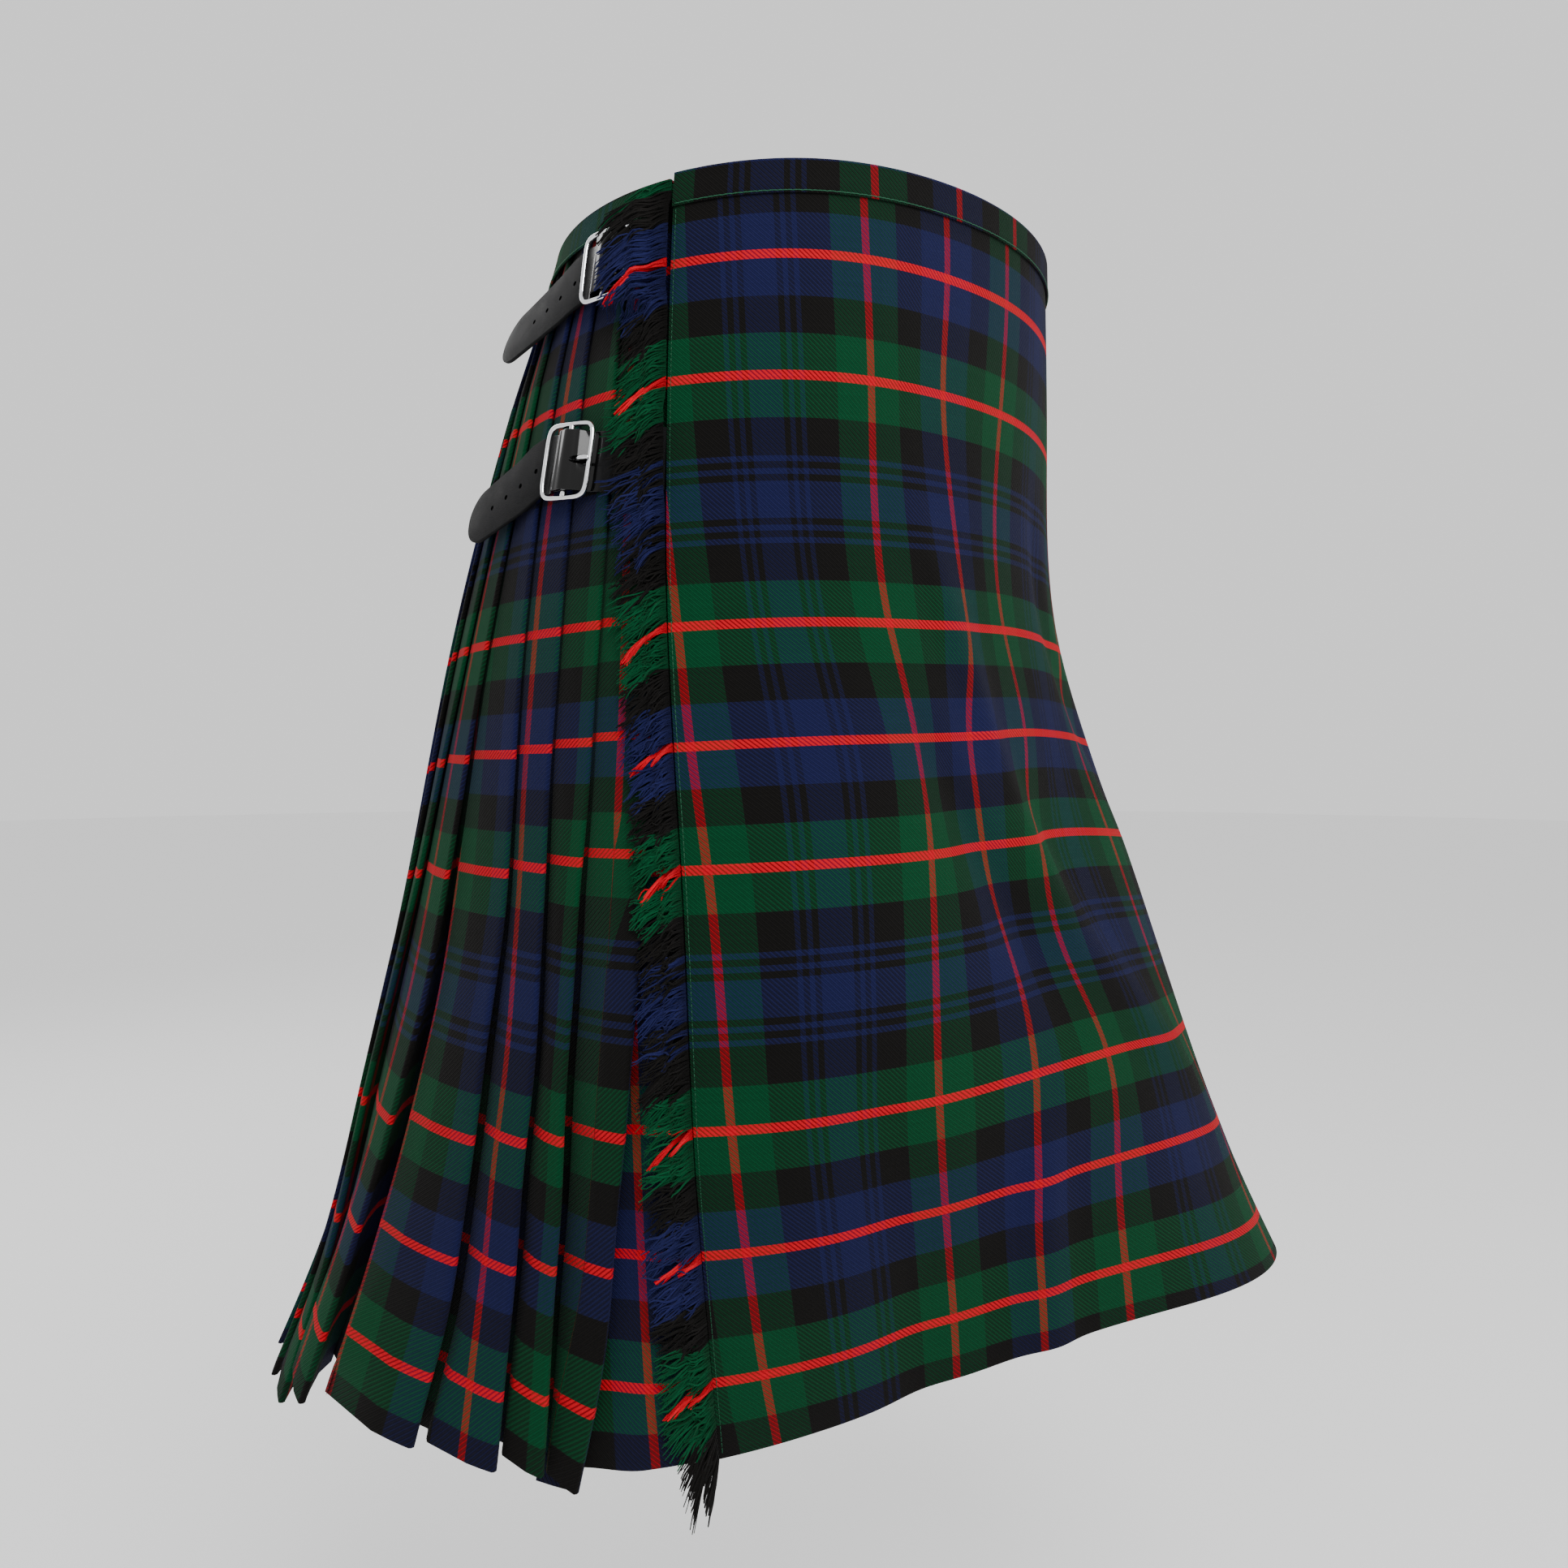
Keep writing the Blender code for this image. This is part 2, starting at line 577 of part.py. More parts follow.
def strap_frame(strap, runs):
    """Points and axes along a strap's line, at runs measured from the buckle away from the apron."""
    drop = strap["drop"] * MM
    fine = strap["buckle_bearing"] + strap["way"] * np.linspace(-30, 45, 301)
    level_path = place(fine, drop, -under_depth(drop))
    lengths = np.concatenate([[0], np.cumsum(np.linalg.norm(np.diff(level_path, axis=0), axis=1))])
    lengths = lengths - np.interp(0, strap["way"] * (fine - strap["buckle_bearing"]), lengths)

    def at(run, lower=0.0):
        past = np.maximum(run - BUCKLE_LENGTH / 2, 0)
        fall = strap["tilt"] * run + strap["droop"] * past * smooth_step(past, -8 * MM, 22 * MM)
        drops = drop + fall + lower
        return place(np.interp(run, lengths, fine), drops, -under_depth(drops))

    def unit(vectors):
        return vectors / np.linalg.norm(vectors, axis=1, keepdims=True)

    runs = np.asarray(runs, float)
    along = unit(at(runs + 3 * MM) - at(runs - 3 * MM))
    out = unit(np.cross(along, at(runs, 8 * MM) - at(runs, -8 * MM)) * strap["way"])
    down = np.cross(out, along) * strap["way"]
    return at(runs), along, down, out


def strap_heights(strap, runs):
    """Height of the strap's middle: under the front bar, over the centre bar, under the rear bar."""
    runs = np.asarray(runs, float)
    to_edge = strap["to_edge"] * MM
    under = TAB_THICK + 2 * SEAM_GAP + STRAP_THICK / 2
    over = buckle_height() + BUCKLE_BAR + SEAM_GAP + STRAP_THICK / 2 + 0.1 * MM
    flat = SEAM_GAP + STRAP_THICK / 2 + 0.1 * MM
    bar = BUCKLE_LENGTH / 2 - BUCKLE_WIRE
    knots = np.array([-to_edge, -bar - 6 * MM, -bar + 2 * MM, -4.5 * MM, 0, 4.5 * MM, bar - 2.4 * MM, 0.1])
    heights = np.array([flat, flat + 0.2 * MM, flat + 0.8 * MM, over - 1.6 * MM, over, over - 1.2 * MM,
                        under, under])
    share = np.clip(np.searchsorted(knots, runs, side="right") - 1, 0, len(knots) - 2)
    t = (runs - knots[share]) / (knots[share + 1] - knots[share])
    t = t * t * (3 - 2 * t)
    free = np.maximum(runs - bar - 12 * MM, 0)
    return heights[share] * (1 - t) + heights[share + 1] * t + free**2 / (2 * strap["spring"] * MM)


def buckle_height():
    return TAB_THICK + STRAP_THICK + 3 * SEAM_GAP + BUCKLE_WIRE + 0.1 * MM


def make_strap(strap, collection, cutters, finish):
    """A leather strap with square shoulders and a rounded tip, cut by its holes."""
    to_edge, to_tip = strap["to_edge"] * MM, strap["to_tip"] * MM
    round_end = STRAP_WIDTH * 0.46
    runs = np.concatenate([
        np.linspace(-to_edge, -BUCKLE_LENGTH / 2 - 2 * MM, 4)[:-1],
        np.linspace(-BUCKLE_LENGTH / 2 - 2 * MM, BUCKLE_LENGTH / 2, 13)[:-1],
        np.linspace(BUCKLE_LENGTH / 2, to_tip - round_end, 6)[:-1],
        to_tip - round_end * (1 - np.sin(np.linspace(0, 0.97, 7) * math.pi / 2)),
    ])
    tail = np.clip((runs - (to_tip - round_end)) / round_end, 0, 1)
    half = STRAP_WIDTH / 2 * (0.16 + 0.84 * np.sqrt(np.maximum(1 - tail**2, 0)))
    base, _, down, out = strap_frame(strap, runs)
    height = strap_heights(strap, runs)
    rings = []
    for side, rise in ((-1, -0.5), (1, -0.5), (1, 0.5), (-1, 0.5)):
        lift = (height + rise * STRAP_THICK)[:, None]
        rings.append(base + down * (side * half)[:, None] + out * lift)
    name = f"strap_{strap['name']}"
    made = lofted(name, np.stack(rings, 1), collection, finish)
    first_hole = BUCKLE_LENGTH / 2 + HOLE_START
    holes = [(first_hole + HOLE_SPACING * i, HOLE_RADIUS, 1.0) for i in range(HOLES)]
    holes.append((1.0 * MM - BUCKLE_LENGTH / 4, SLOT_RADIUS, SLOT_STRETCH))
    for i, (run, radius, stretch) in enumerate(holes):
        at, ahead, fall, away = (part[0] for part in strap_frame(strap, [run]))
        bpy.ops.mesh.primitive_cylinder_add(vertices=10, radius=radius, depth=24 * MM)
        cutter = bpy.context.object
        cutter.name = f"{name}_hole_{i}"
        turn = np.stack([ahead * stretch, fall, away], 1)
        points = np.array([vertex.co for vertex in cutter.data.vertices]) @ turn.T
        points = points + at + away * strap_heights(strap, [run])[0]
        for vertex, point in zip(cutter.data.vertices, points):
            vertex.co = Vector(point)
        facing_out(cutter.data)
        move_to(cutter, cutters)
        cutter.hide_render = True
        cutter.display_type = "WIRE"
        cut = made.modifiers.new(f"Hole {i}", "BOOLEAN")
        cut.operation = "DIFFERENCE"
        cut.object = cutter
    return made


def make_tab(strap, collection, finish):
    """The short leather tab that carries the buckle's centre bar, beneath the strap's free end."""
    bar = buckle_height() - BUCKLE_BAR - SEAM_GAP - TAB_THICK / 2 - 0.1 * MM
    flat = SEAM_GAP + TAB_THICK / 2
    runs = np.array([-1.5, 1.5, 4.5, 7.5, 10.0, 16.0, 22.0, 28.0]) * MM
    heights = np.array([bar, bar, bar - 1.2 * MM, flat + 0.3 * MM, flat, flat, flat, flat])
    base, _, down, out = strap_frame(strap, runs)
    rings = []
    for side, rise in ((-1, -0.5), (1, -0.5), (1, 0.5), (-1, 0.5)):
        lift = (heights + rise * TAB_THICK)[:, None]
        rings.append(base + down * side * TAB_WIDTH / 2 + out * lift)
    return lofted(f"tab_{strap['name']}", np.stack(rings, 1), collection, finish)


def move_to(made, collection):
    for old in list(made.users_collection):
        old.objects.unlink(made)
    collection.objects.link(made)


def wire(name, points, radius, closed, collection, finish):
    """A round wire along points, as a mesh whose caps are joined to its side."""
    data = bpy.data.curves.new(name, "CURVE")
    data.dimensions = "3D"
    data.bevel_depth = radius
    data.bevel_resolution = 2
    data.use_fill_caps = not closed
    spline = data.splines.new("POLY")
    spline.points.add(len(points) - 1)
    for point, at in zip(spline.points, points):
        point.co = (*at, 1.0)
    spline.use_cyclic_u = closed
    curve = bpy.data.objects.new(name + "_curve", data)
    collection.objects.link(curve)
    bpy.context.view_layer.update()
    evaluated = curve.evaluated_get(bpy.context.evaluated_depsgraph_get())
    mesh = bpy.data.meshes.new_from_object(evaluated)
    bpy.data.objects.remove(curve)
    work = bmesh.new()
    work.from_mesh(mesh)
    bmesh.ops.remove_doubles(work, verts=work.verts, dist=0.01 * MM)
    bmesh.ops.recalc_face_normals(work, faces=work.faces)
    work.to_mesh(mesh)
    work.free()
    mesh.name = name
    mesh.materials.clear()
    return add_object(name, mesh, collection, finish)


def buckle_outline():
    """A rounded rectangle through the middle of the frame's wire."""
    half_run = BUCKLE_LENGTH / 2 - BUCKLE_WIRE
    half_fall = BUCKLE_HEIGHT / 2 - BUCKLE_WIRE
    outline = []
    for run_side, fall_side, start in ((1, 1, 0), (-1, 1, 90), (-1, -1, 180), (1, -1, 270)):
        for turn in (0, 30, 60, 90):
            angle = math.radians(start + turn)
            run = run_side * (half_run - BUCKLE_CORNER) + BUCKLE_CORNER * math.cos(angle)
            fall = fall_side * (half_fall - BUCKLE_CORNER) + BUCKLE_CORNER * math.sin(angle)
            outline.append((run, fall))
    return outline


def make_buckle(strap, collection, cutters, finish):
    """A wire frame with a centre bar, and its prong resting on the front bar."""
    base, along, down, out = (part[0] for part in strap_frame(strap, [0.0]))
    height = buckle_height()

    def at(run, fall, rise):
        return base + along * run + down * fall + out * (height + rise)

    frame = [at(run, fall, 0.0) for run, fall in buckle_outline()]
    made = wire(f"buckle_{strap['name']}", frame, BUCKLE_WIRE, True, collection, finish)
    reach = BUCKLE_HEIGHT / 2 - BUCKLE_WIRE
    ends = [at(0, -reach, 0), at(0, reach, 0)]
    bar = wire(f"bar_{strap['name']}", ends, BUCKLE_BAR, False, cutters, finish)
    bar.hide_render = True
    bar.display_type = "WIRE"
    join = made.modifiers.new("Centre bar", "BOOLEAN")
    join.operation = "UNION"
    join.object = bar
    front = -(BUCKLE_LENGTH / 2 - BUCKLE_WIRE)
    top = BUCKLE_WIRE + PRONG_WIRE + SEAM_GAP + 0.1 * MM
    clear = BUCKLE_BAR + PRONG_WIRE + SEAM_GAP + 0.2 * MM
    # From its loop below the centre bar the prong climbs through the slot and ends past the front bar.
    route = (
        (-clear, -0.6 * MM), (-clear - 2 * MM, 0.1 * MM), (-clear - 5 * MM, 1.6 * MM),
        (front + 3 * MM, top - 0.2 * MM), (front, top), (front - 2.2 * MM, top - 0.4 * MM),
    )
    points = [at(run, 0, rise) for run, rise in route]
    wire(f"prong_{strap['name']}", points, PRONG_WIRE, False, collection, finish)


def main():
    for old in list(bpy.data.objects):
        bpy.data.objects.remove(old)
    kilt = bpy.data.collections.new("scottish kilt")
    cutters = bpy.data.collections.new("cutters")
    bpy.context.scene.collection.children.link(kilt)
    bpy.context.scene.collection.children.link(cutters)
    green_wool = material("green wool", CHECK_GREEN, 0.85)
    navy_wool = material("navy wool", CHECK_NAVY, 0.85)
    leather = material("black leather", LEATHER_BLACK, 0.45)
    chrome = material("chrome", CHROME, 0.12, 1.0)
    make_over_apron(kilt, green_wool)
    make_under_apron(kilt, navy_wool)
    make_pleats(kilt, green_wool)
    make_bands(kilt, navy_wool)
    for row, wool in zip(FRINGES, (green_wool, navy_wool)):
        make_fringe(dict(zip(FRINGE_COLUMNS, row)), kilt, wool)
    for row in STRAPS:
        strap = dict(zip(STRAP_COLUMNS, row))
        make_strap(strap, kilt, cutters, leather)
        make_tab(strap, kilt, leather)
        make_buckle(strap, kilt, cutters, chrome)


main()
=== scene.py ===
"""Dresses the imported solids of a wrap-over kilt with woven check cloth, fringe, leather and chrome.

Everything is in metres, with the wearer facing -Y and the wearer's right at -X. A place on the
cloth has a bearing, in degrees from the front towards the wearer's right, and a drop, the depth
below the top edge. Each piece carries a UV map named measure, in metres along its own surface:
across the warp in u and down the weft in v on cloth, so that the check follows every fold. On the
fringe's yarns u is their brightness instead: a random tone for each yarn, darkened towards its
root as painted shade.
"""

import math

import bpy
import numpy as np
from bpy.props import FloatProperty, FloatVectorProperty, IntProperty, PointerProperty
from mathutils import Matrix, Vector


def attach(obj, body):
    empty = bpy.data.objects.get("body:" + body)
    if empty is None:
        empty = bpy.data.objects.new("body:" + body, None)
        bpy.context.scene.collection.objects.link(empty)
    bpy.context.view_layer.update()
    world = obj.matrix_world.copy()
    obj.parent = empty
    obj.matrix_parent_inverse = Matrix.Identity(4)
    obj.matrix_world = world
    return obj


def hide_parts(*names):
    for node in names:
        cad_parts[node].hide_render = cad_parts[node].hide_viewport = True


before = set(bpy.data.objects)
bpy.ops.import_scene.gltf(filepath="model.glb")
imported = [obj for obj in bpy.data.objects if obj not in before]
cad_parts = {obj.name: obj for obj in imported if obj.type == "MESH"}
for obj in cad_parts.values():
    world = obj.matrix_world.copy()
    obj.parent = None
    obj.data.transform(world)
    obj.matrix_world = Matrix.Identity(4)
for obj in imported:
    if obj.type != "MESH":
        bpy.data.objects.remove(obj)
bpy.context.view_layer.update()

bl_info = {
    "name": "Wrap-over kilt",
    "version": (1, 0, 0),
    "blender": (4, 5, 0),
    "location": "View3D > Sidebar > Kilt",
    "description": "Makes the cloth, fringe, straps and buckles of a checked wool kilt",
    "category": "Object",
}

MM = 0.001
KILT_DROP = 0.600
TOP_Z = 0.030
CLOTH = 1.2 * MM
PLEAT_CLOTH = 1.0 * MM
SEAM_GAP = 0.3 * MM
BAND_HEIGHT = 16.0 * MM
BAND_CLOTH = 1.0 * MM
BAND_GAP = 0.45 * MM

# From the waist down to the hem: a drop, then the radii at bearings 0, 30 ... 330 degrees, all in mm.
BEARING_STEP = 30.0
SECTIONS = (
    (0, 145, 152, 165, 169, 151, 136, 132, 136, 151, 168, 165, 151),
    (100, 146, 157, 179, 188, 179, 168, 164, 168, 179, 187, 175, 153),
    (220, 148, 163, 189, 207, 207, 199, 194, 198, 206, 204, 183, 160),
    (340, 172, 183, 219, 227, 229, 223, 217, 219, 223, 218, 205, 199),
    (460, 214, 201, 228, 246, 256, 248, 240, 240, 243, 239, 238, 238),
    (540, 222, 190, 216, 253, 277, 267, 256, 253, 254, 253, 264, 269),
    (600, 225, 184, 206, 261, 301, 289, 273, 268, 266, 268, 292, 297),
)
# How far the top edge and the hem lie above their even levels, in mm, at the same bearings.
TOP_EDGE_RISE = (1, 1, 0, -8, -14, -17, -18, -16, -11, -6, -1, 1)
HEM_RISE = (18, 8, -2, -10, -10, -7, -4, -4, -5, -4, 3, 11)

# Drag folds of the over apron, which run down towards the wearer's left, with sizes in mm. Ridges
# stand out, and troughs are negative.
FOLD_COLUMNS = ("start_bearing", "start_drop", "end_bearing", "end_drop", "height", "half_width")
FOLDS = (
    (38.0, 170, 6.0, 400, 5.0, 15.0),
    (44.0, 255, 14.0, 430, -5.0, 16.0),
    (30.0, 290, -22.0, 520, 4.0, 18.0),
    (-6.0, 150, -30.0, 330, -3.0, 16.0),
    (52.0, 420, 40.0, 600, -4.0, 22.0),
    (22.0, 480, 17.0, 600, 4.0, 14.0),
    (-44.0, 300, -56.0, 600, 4.0, 18.0),
    (-62.0, 360, -70.0, 600, -4.0, 16.0),
)
FOLD_RADIUS = 0.20

# Bearings of the upright edges from the waist to the hem, by drop in mm.
EDGE_COLUMNS = ("drop", "fringed_edge", "left_edge", "first_pleat", "last_pleat")
EDGES = (
    (0, 79.9, -84.0, 82.5, 272.0),
    (110, 78.6, -83.0, 81.0, 272.5),
    (220, 77.0, -82.0, 79.5, 273.0),
    (340, 72.9, -80.5, 78.3, 274.0),
    (460, 70.8, -79.0, 79.1, 275.0),
    (600, 69.0, -78.0, 83.6, 276.0),
)
UNDER_APRON_SHARE = 0.87
BAND_DROP = 0.020
RISEN_DROP = 0.080
BAND_INNER_LEG = 0.8
# How thick the pleats' folded cloth is beneath its binding, over and above its step.
PLEAT_STACK = 2.6 * MM

PLEATS = 26
# Widths of the seven foremost pages as shares of a plain page's, by drop in mm.
FAN = (
    (0, 1.00, 1.00, 1.00, 1.00, 1.00, 1.00, 1.00),
    (200, 1.04, 0.90, 0.95, 1.15, 1.00, 1.00, 1.00),
    (300, 1.16, 0.80, 0.90, 1.65, 1.33, 0.97, 1.00),
    (400, 1.11, 0.69, 0.97, 1.96, 1.78, 0.94, 0.98),
    (500, 0.90, 0.63, 1.06, 2.44, 1.41, 0.99, 0.99),
    (600, 0.43, 0.68, 1.14, 2.29, 0.91, 1.01, 1.01),
)
FAN_SWING = 0.12
WAIST_STEP = 2.75 * MM
HEM_STEP = 8.0 * MM
HIDDEN_AT_WAIST = 13.0 * MM
HIDDEN_AT_HEM = 26.0 * MM
FELL_DROP = 0.200
LAST_PAGE = 30.0 * MM
# The tail that leads to the first fold edge, as a share of the others.
FIRST_TAIL = 0.8
# The space between two layers of a fold, stitched down, and what is added where it hangs loose.
PLEAT_GAP = 0.38 * MM
LOOSE_GAP = 1.1 * MM
# How far the turns reach out, as a share of their own radius.
TURN_BULGE = 1.1
# How far a page bulges, as a share of its step, and what is added where it hangs loose.
PAGE_CROWN = 0.05
LOOSE_CROWN = 0.08
# How far the fold edges wander to each side where they hang loose.
EDGE_WANDER = 1.1 * MM
# By drop in metres: how far a page's cloth rises from its fold edge to its hidden tail, in mm.
PAGE_RISE = ((0.25, 0), (0.34, 2.0), (0.45, 3.5), (0.51, 5.0), (0.60, 8.0))

# The check: threads of each stripe from one mirror line to the other, and the colour of each.
HALF_SETT = (
    ("red", 3), ("blue", 24), ("black", 24), ("green", 24), ("red", 6), ("green", 24), ("black", 24),
    ("blue", 4), ("black", 4), ("blue", 4), ("black", 4), ("blue", 12),
)
SETT_DOWN = 0.235
SETT_ACROSS = 0.2115
FIRST_RED_ROW = 0.047
# Five of the apron's upright red stripes: where each lies across the cloth, and at several drops in
# mm the bearings at which they hang. The first runs out past the fringed edge above the hips.
HUNG_PLACES = (-0.2115, -0.1050, -0.0525, 0.0, 0.1065)
HUNG_STRIPES = (
    (0, 84.5, 47.9, 30.0, 9.0, -31.0),
    (50, 82.6, 47.7, 30.2, 9.6, -31.0),
    (105, 80.8, 47.3, 32.0, 12.6, -29.0),
    (225, 75.6, 44.7, 28.0, 13.0, -26.0),
    (278, 73.1, 40.8, 29.5, 7.0, -18.0),
    (335, 70.1, 40.4, 27.6, 14.0, -17.0),
    (450, 66.9, 41.0, 23.2, 8.0, -16.0),
    (505, 65.5, 38.6, 22.6, 7.2, -22.0),
    (565, 63.7, 35.0, 20.2, 5.5, -24.0),
    (600, 62.2, 33.5, 19.0, 4.5, -25.0),
)
# The pleats show the check as if it ran on unbroken, so each fold edge starts one page further on.
PLEAT_PATTERN_STEP = 0.0250
PLEAT_PATTERN_TAPER = 0.0030
PLEAT_PATTERN_START = -0.1186
UNDER_PATTERN_START = -0.2354
# The grain hangs askew: by drop, how far the weft rows lie above their even level at the apron's
# fringed edge, and on the pleats at the first fold edge and less for each fold edge after it.
APRON_GRAIN = (
    (0, 0), (50, 2), (105, 3), (225, 4), (280, 7), (335, 10), (450, 13), (505, 15), (565, 13), (600, 12),
)
APRON_GRAIN_TILT = 16.0 * MM
PLEAT_GRAIN = (
    (0, 0.0, 0.0), (105, 3.0, 0.2), (225, 10.5, 1.2), (280, 15.0, 2.1), (335, 18.5, 2.8),
    (450, 10.0, 2.0), (517, 11.0, 2.2), (575, 10.0, 0.9), (600, 9.0, 0.9),
)
PLEATS_ASKEW = 7
# The first page laps over itself below this drop and takes in this much cloth, which ends just
# past the page's red stripe.
LAP_DROP = 0.36
LAP_CLOTH = 20.0 * MM
LAP_START = 16.6 * MM
# Where the lap lies across the page, as a share of its width, and how far it drifts by the hem.
LAP_SHARE = 0.45
LAP_DRIFT = 0.40
LAP_SINK = 1.3 * MM
# Each page dives in behind the next fold edge, a little where it is stitched down and more where it
# hangs loose, and one page dives deep.
STITCHED_DIVE = 1.3 * MM
LOOSE_DIVE = 7.5 * MM
DIVE_START = 0.88
LOOSE_DIVE_START = 0.85
DEEP_PLEAT = 3
DEEP_DIVE = 16.0 * MM
DEEP_DIVE_START = 0.80
DEEP_STRIPE = 46.0 * MM
# How far each fold edge hangs above the hem's line, in mm; the rest are as the last one here.
PLEAT_HEMS = (-8, 0, 2, 8, 7, -5, -7, -5, -3)
# The bindings are cut from other rows of the cloth and lie a little off the panel's stripes.
BAND_SHIFT = -6.5 * MM
BAND_ROW_OVER = 0.0682
BAND_ROW_PLEATS = 0.0861
PLEAT_BAND_SHIFT = 0.0

# The weft's share of each twill line, and what a red weft row and a red warp stripe add to it.
WEFT_SHARE = 0.62
RED_WEFT_SHARE = 0.24
RED_WARP_SHARE = 0.02
# How cleanly the two colours part, and what a red weft row adds to that.
CLEAR = 0.40
RED_CLEAR = 0.42
# Streaks of unlike threads: grains a metre along them and across them.
STREAK_LONG = 12.0
STREAK_FINE = 900.0

STRAP_WIDTH = 30.0 * MM
STRAP_THICK = 2.0 * MM
TAB_THICK = 1.4 * MM
TAB_WIDTH = 26.0 * MM
BUCKLE_LENGTH = 31.0 * MM
BUCKLE_HEIGHT = 39.0 * MM
BUCKLE_WIRE = 1.7 * MM
BUCKLE_BAR = 1.5 * MM
# The frame's section against the wire's radius, in its own plane and square to it, and how near the
# frame's outline is to a rectangle: 2 is an ellipse.
BUCKLE_SLIM = 0.74
BUCKLE_RELIEF = 0.85
BUCKLE_SQUARENESS = 6.5
PRONG_WIRE = 1.2 * MM
HOLES = 4
HOLE_START = 9.0 * MM
HOLE_SPACING = 11.5 * MM
HOLE_RADIUS = 1.3 * MM
SLOT_RADIUS = 1.9 * MM
SLOT_STRETCH = 2.1

# Both rows of the fringe, in mm: where the yarns start and how far they reach from the apron's edge,
# how far out they lie, how high they arch and how far they droop. The seed starts the random draws.
FRINGE_COLUMNS = ("name", "start", "reach", "out", "crest", "droop", "seed", "node")
FRINGES = (
    ("near_fringe_yarns", 0.5, 14.5, 0.7, 2.4, 6.5, 11, "fringe_near"),
    ("far_fringe_yarns", 3.4, 28.0, -0.5, 1.2, 10.0, 23, "fringe_far"),
)
YARN_STATIONS = 10
THIN_YARN = 0.36 * MM
THICK_YARN = 0.60 * MM
# Above the hem, the height over which the yarns come to hang down.
HANG_HEIGHT = 34 * MM
# Half the height of cloth whose red yarns cling together in one tuft.
RED_TUFT = 2.3 * MM
# Yarns near the upper buckle lie over it: how high they rise, and how much longer they are there.
OVER_BUCKLE = 7.4 * MM
BUCKLE_COVER = 5.0 * MM
# Stitches: their spacing, their length and the thread's radius.
BAND_STITCH = (2.4 * MM, 2.2 * MM, 0.30 * MM)
EDGE_STITCH = (2.8 * MM, 2.2 * MM, 0.22 * MM)
BAND_STITCH_DROP = 0.9 * MM

WORLD_STRENGTH = 1.05
FLOOR_CORNERS = 64
FLOOR_RINGS = (0.001, 1.0, 4.0, 12.0)

CAMERA_LENS = 31.68
CAMERA_SENSOR = 36.0
CAMERA_SPOT = (-0.7265, -0.4137, -0.2435)
CAMERA_AZIMUTH = -60.0
CAMERA_DIP = 2.13
# Name, place, size, power as a share of the key light's setting, and the point that it faces.
STUDIO_LIGHTS = (
    ("key light", (-0.95, -1.05, 0.85), (0.8, 0.8), 1.0, (0.0, 0.0, -0.1)),
    ("fill light", (1.1, -2.4, 0.4), (1.6, 1.6), 0.7, (0.0, 0.0, -0.3)),
    ("back light", (0.6, 2.2, 1.2), (1.6, 1.6), 0.9, (0.0, 0.0, -0.3)),
)
# Drop in mm, the run in mm from the buckle's centre to the apron's edge and to the strap's tip, tilt
# and droop as slopes, and spring as the radius in mm on which the free end lifts off.
STRAP_COLUMNS = ("name", "drop", "buckle_bearing", "way", "to_edge", "to_tip", "tilt", "droop", "spring")
STRAPS = (
    ("waist_right", 37.5, 91.0, 1, 30, 88, 0.00, 0.27, 200),
    ("hip_right", 134.5, 93.4, 1, 50, 80, -0.10, 0.44, 250),
    ("waist_left", 37.5, -95.5, -1, 30, 80, 0.00, 0.12, 230),
)


def natural_spline(knots, values, at):
    """A cubic through rows of values, with no bend at its ends, read at the places given."""
    knots = np.asarray(knots, float)
    values = np.asarray(values, float)
    at = np.clip(np.asarray(at, float), knots[0], knots[-1])
    gaps = np.diff(knots)
    count = len(knots)
    system = np.eye(count)
    right = np.zeros_like(values)
    for i in range(1, count - 1):
        system[i, i - 1:i + 2] = gaps[i - 1], 2 * (gaps[i - 1] + gaps[i]), gaps[i]
        rise_after = (values[i + 1] - values[i]) / gaps[i]
        rise_before = (values[i] - values[i - 1]) / gaps[i - 1]
        right[i] = 6 * (rise_after - rise_before)
    bends = np.linalg.solve(system, right)
    i = np.clip(np.searchsorted(knots, at, side="right") - 1, 0, count - 2)
    width = gaps[i]
    ahead = (at - knots[i]) / width
    behind = 1 - ahead
    trailing = (1,) * (values.ndim - 1)
    ahead, behind, width = (part.reshape(part.shape + trailing) for part in (ahead, behind, width))
    straight = behind * values[i] + ahead * values[i + 1]
    bend = (behind**3 - behind) * bends[i] + (ahead**3 - ahead) * bends[i + 1]
    return straight + bend * width**2 / 6


def closed_spline(values, bearing):
    """A closed cubic through values at even bearings, read at the bearings given."""
    values = np.asarray(values, float)
    count = values.shape[-1]
    system = np.zeros((count, count))
    for i in range(count):
        system[i, i] = 4 / 6
        system[i, (i - 1) % count] = 1 / 6
        system[i, (i + 1) % count] = 1 / 6
    controls = values @ np.linalg.inv(system).T
    place_at = np.asarray(bearing, float) / BEARING_STEP
    first = np.floor(place_at)
    t = place_at - first
    weights = ((1 - t)**3, 3 * t**3 - 6 * t**2 + 4, -3 * t**3 + 3 * t**2 + 3 * t + 1, t**3)
    total = 0.0
    for shift, weight in zip((-1, 0, 1, 2), weights):
        index = (first.astype(int) + shift) % count
        if controls.ndim == 1:
            control = controls[index]
        else:
            control = np.take_along_axis(controls, index[..., None], -1)[..., 0]
        total = total + weight * control / 6
    return total


def smooth_step(value, low, high):
    """Zero below low, one above high, and an S between them."""
    share = np.clip((np.asarray(value, float) - low) / (high - low), 0, 1)
    return share * share * (3 - 2 * share)


